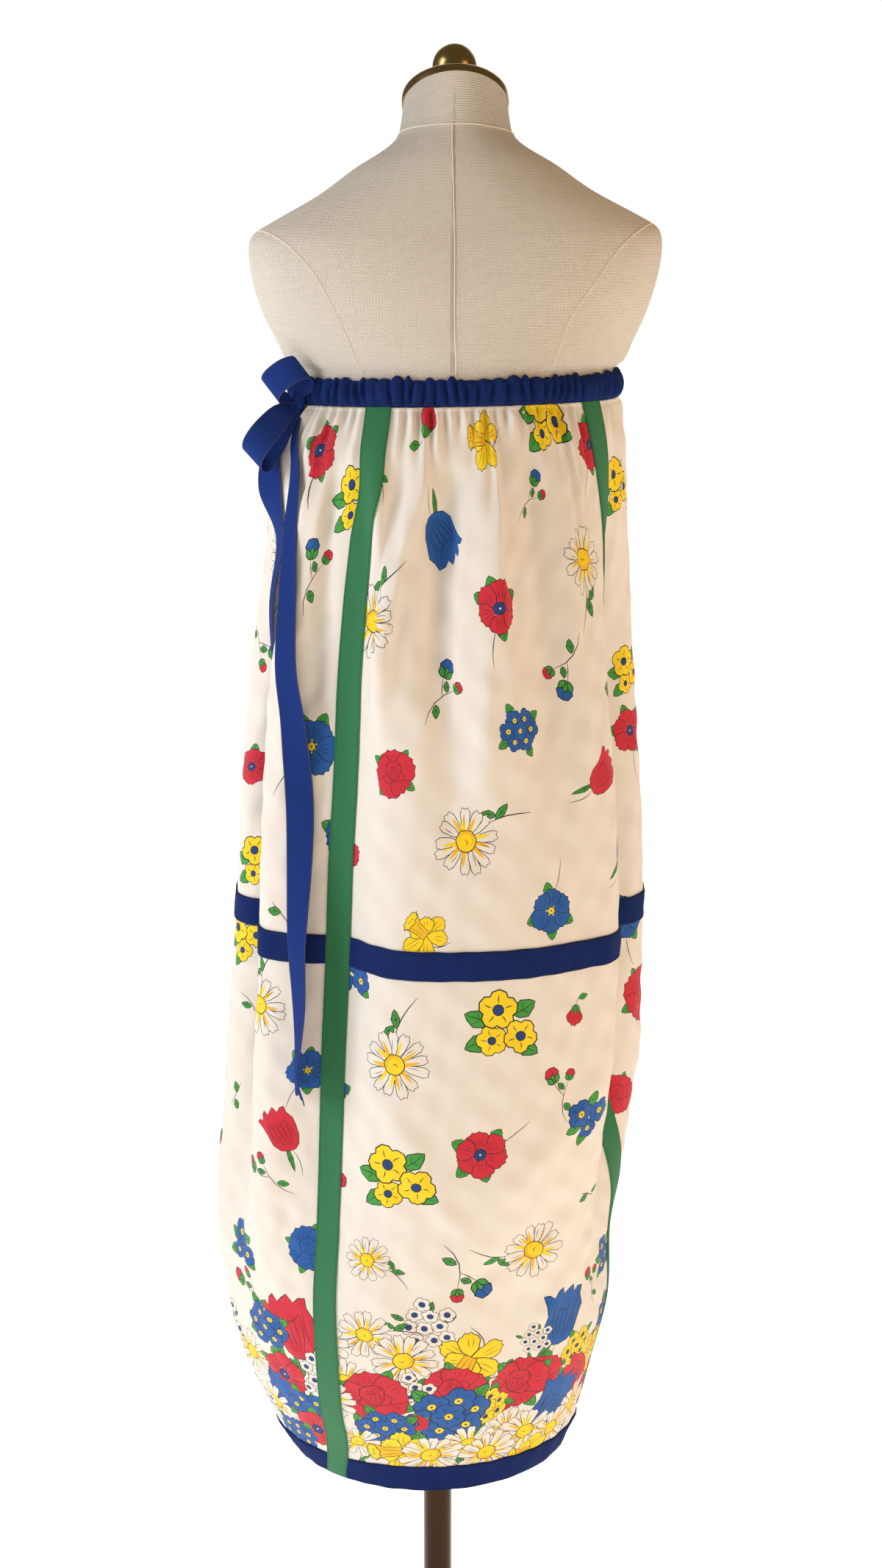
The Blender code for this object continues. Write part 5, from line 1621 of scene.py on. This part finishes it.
def stitched(name, paths, spacing, length, radius, thread):
    # sews a row of stitches along each path
    points, edges = [], []
    for path in paths:
        first = len(points)
        points += [tuple(p) for p in path]
        edges += [(first + k, first + k + 1) for k in range(len(path) - 1)]
    guide = bpy.data.meshes.new(name + "Guide")
    guide.from_pydata(points, edges, [])
    source = addObject(name + "Guide", guide)
    modifier = source.modifiers.new("stitches", "NODES")
    modifier.node_group = stitchNodes
    identifiers = {item.name: item.identifier for item in stitchNodes.interface.items_tree
                   if item.in_out == "INPUT"}
    for key, value in (("Spacing", spacing), ("Stitch Length", length), ("Thread Radius", radius),
                       ("Thread", thread)):
        modifier[identifiers[key]] = value
    evaluated = source.evaluated_get(bpy.context.evaluated_depsgraph_get())
    mesh = bpy.data.meshes.new_from_object(evaluated)
    mesh.name = name
    bpy.data.objects.remove(source)
    return addObject(name, mesh)


formPaths = [onForm(path) for path in (neckSeam, backSeam, leftSeam, rightSeam)]
formPaths += [onForm([(x, -0.9 * y, z) for x, y, z in path]) for path in (leftSeam, rightSeam)]
formSeams = seamRidge("formSeams", formPaths)
# Linen thread of the form's own colour
linenThread = newMaterial("cream linen thread", "#EDE4D0", 0.8)[0]
raised = seamSettings["ridge"] + seamSettings["proud"]
formStitches = stitched("formStitches", [places + normals * raised for places, normals in formPaths],
                        seamSettings["spacing"], seamSettings["formStitch"],
                        seamSettings["formThread"], linenThread)

sewHeights = np.linspace(gridHeights[0] - 0.001, hemBand[1] + 0.001, 400)
greenPaths = []
for seam in range(4):
    for offset in (seamSettings["greenInset"] - bandHalf, bandHalf - seamSettings["greenInset"]):
        rows, normals = bandPoints(seam, np.array([offset]), sewHeights, bandSettings["off"])
        crown = bandSettings["crown"] * (1 - (offset / bandHalf) ** 4)
        greenPaths.append(rows[:, 0] + normals[:, 0] * (crown + seamSettings["proud"]))
greenStitches = stitched("greenStitches", greenPaths, seamSettings["spacing"], seamSettings["stitch"],
                         seamSettings["thread"], greenThread)
navyPaths = [np.concatenate([casingSeam, casingSeam[:1]])]
for top, bottom in (midBand, hemBand):
    for level in (top - seamSettings["navyInset"], bottom + seamSettings["navyInset"]):
        for panel in range(4):
            width = float(np.interp(-level, -gridHeights, panelGrids[panel][2]))
            t = np.linspace(bandHalf + 0.002, width - bandHalf - 0.002, 160) / width
            out = bandSettings["off"] + bandSettings["navyCrown"]
            places, normals = onCloth(panel, t, np.full(160, level), out)
            navyPaths.append(places)
navyStitches = stitched("navyStitches", navyPaths, seamSettings["spacing"], seamSettings["stitch"],
                        seamSettings["thread"], navyThread)
print("seams sewn")


def place(piece, slot, *nodes):
    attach(piece, "root")
    if nodes:
        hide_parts(*nodes)


panelNodes = ("panel_back", "panel_right", "panel_front", "panel_left")
for piece, node in zip(panels, panelNodes):
    place(piece, "printed_cotton", node)
for piece, node in zip(bands, bandNodes):
    place(piece, "green_grosgrain", node)
for k, piece in enumerate(crossBands):
    node = ("midband_" if k < 4 else "hemband_") + panelSides[k % 4]
    place(piece, "navy_cotton", node)
place(casing, "navy_cotton", "casing")
bowNodes = ("bow_knot", "bow_loop_upper", "bow_loop_lower", "bow_tail_front", "bow_tail_back")
for piece, node in zip(bow, bowNodes):
    place(piece, "navy_cotton", node)
place(form, "linen", "form_torso")
place(formSeams, "linen")
place(formStitches, "linen")
place(greenStitches, "green_grosgrain")
place(navyStitches, "navy_cotton")
for piece, node in ((capPiece, "neck_cap"), (knobPiece, "cap_finial"), (polePiece, "stand_pole"),
                    (collarPiece, "pole_collar"), (basePiece, "base_disc")):
    place(piece, "bronze_metal", node)


photoHeight = 2133
camera = addObject("camera", bpy.data.cameras.new("camera"))
camera.location = (0.0038, -1.8525, 1.59)
camera.rotation_euler = (math.radians(75.0), 0.0, 0.0)
camera.data.sensor_width = 36.0
camera.data.lens = 36.0 * 2566 / photoHeight
camera.data.clip_end = 100.0
bpy.context.scene.camera = camera


def areaLight(name, place, target, size, power, hexColour):
    light = bpy.data.lights.new(name, "AREA")
    light.shape = "RECTANGLE"
    light.size, light.size_y = size
    light.energy = power
    light.color = toLinear(hexColour)[:3]
    lamp = addObject(name, light)
    lamp.location = place
    lamp.rotation_euler = (Vector(target) - Vector(place)).to_track_quat("-Z", "Y").to_euler()


areaLight("windowLeft", (-2.6, -0.9, 2.2), (0, 0, 0.95), (1.2, 2.4), 60, "#ECF2FF")
areaLight("roomRight", (2.4, -1.6, 1.8), (0, 0, 0.95), (1.0, 2.0), 26, "#FFCC96")
areaLight("back", (0.4, 2.6, 2.4), (0, 0, 1.0), (2.0, 1.6), 16, "#FFF6EA")
world = bpy.data.worlds.new("studio")
bpy.context.scene.world = world
world.use_nodes = True
ambient = world.node_tree.nodes["Background"]
ambient.inputs["Color"].default_value = toLinear("#FFE0BC")
ambient.inputs["Strength"].default_value = 0.29
backdrop = addNode(world.node_tree, "ShaderNodeBackground", {"Color": (1.0, 1.0, 1.0, 1.0), "Strength": 1.05})
seen = addNode(world.node_tree, "ShaderNodeLightPath")
mix = addNode(world.node_tree, "ShaderNodeMixShader", None, {
    0: seen.outputs["Is Camera Ray"], 1: ambient.outputs["Background"], 2: backdrop.outputs["Background"]})
world.node_tree.links.new(mix.outputs["Shader"], world.node_tree.nodes["World Output"].inputs["Surface"])
bpy.context.scene.view_settings.view_transform = "Standard"

# Matt white paper for the floor, lit so evenly that it looks pure white
floorFinish = newMaterial("white paper floor", "#F4F3F1", 0.9, Emission_Color=(1.0, 1.0, 1.0, 1.0),
                          Emission_Strength=1.00)[0]
floorMesh = bpy.data.meshes.new("floor")
ringCount = 96
floorMesh.from_pydata(
    [(14 * math.cos(2 * math.pi * k / ringCount), 14 * math.sin(2 * math.pi * k / ringCount), -0.0005)
     for k in range(ringCount)], [], [tuple(range(ringCount))])
floorMesh.materials.append(floorFinish)
addObject("floor", floorMesh)

print("dress, form and stand in place")
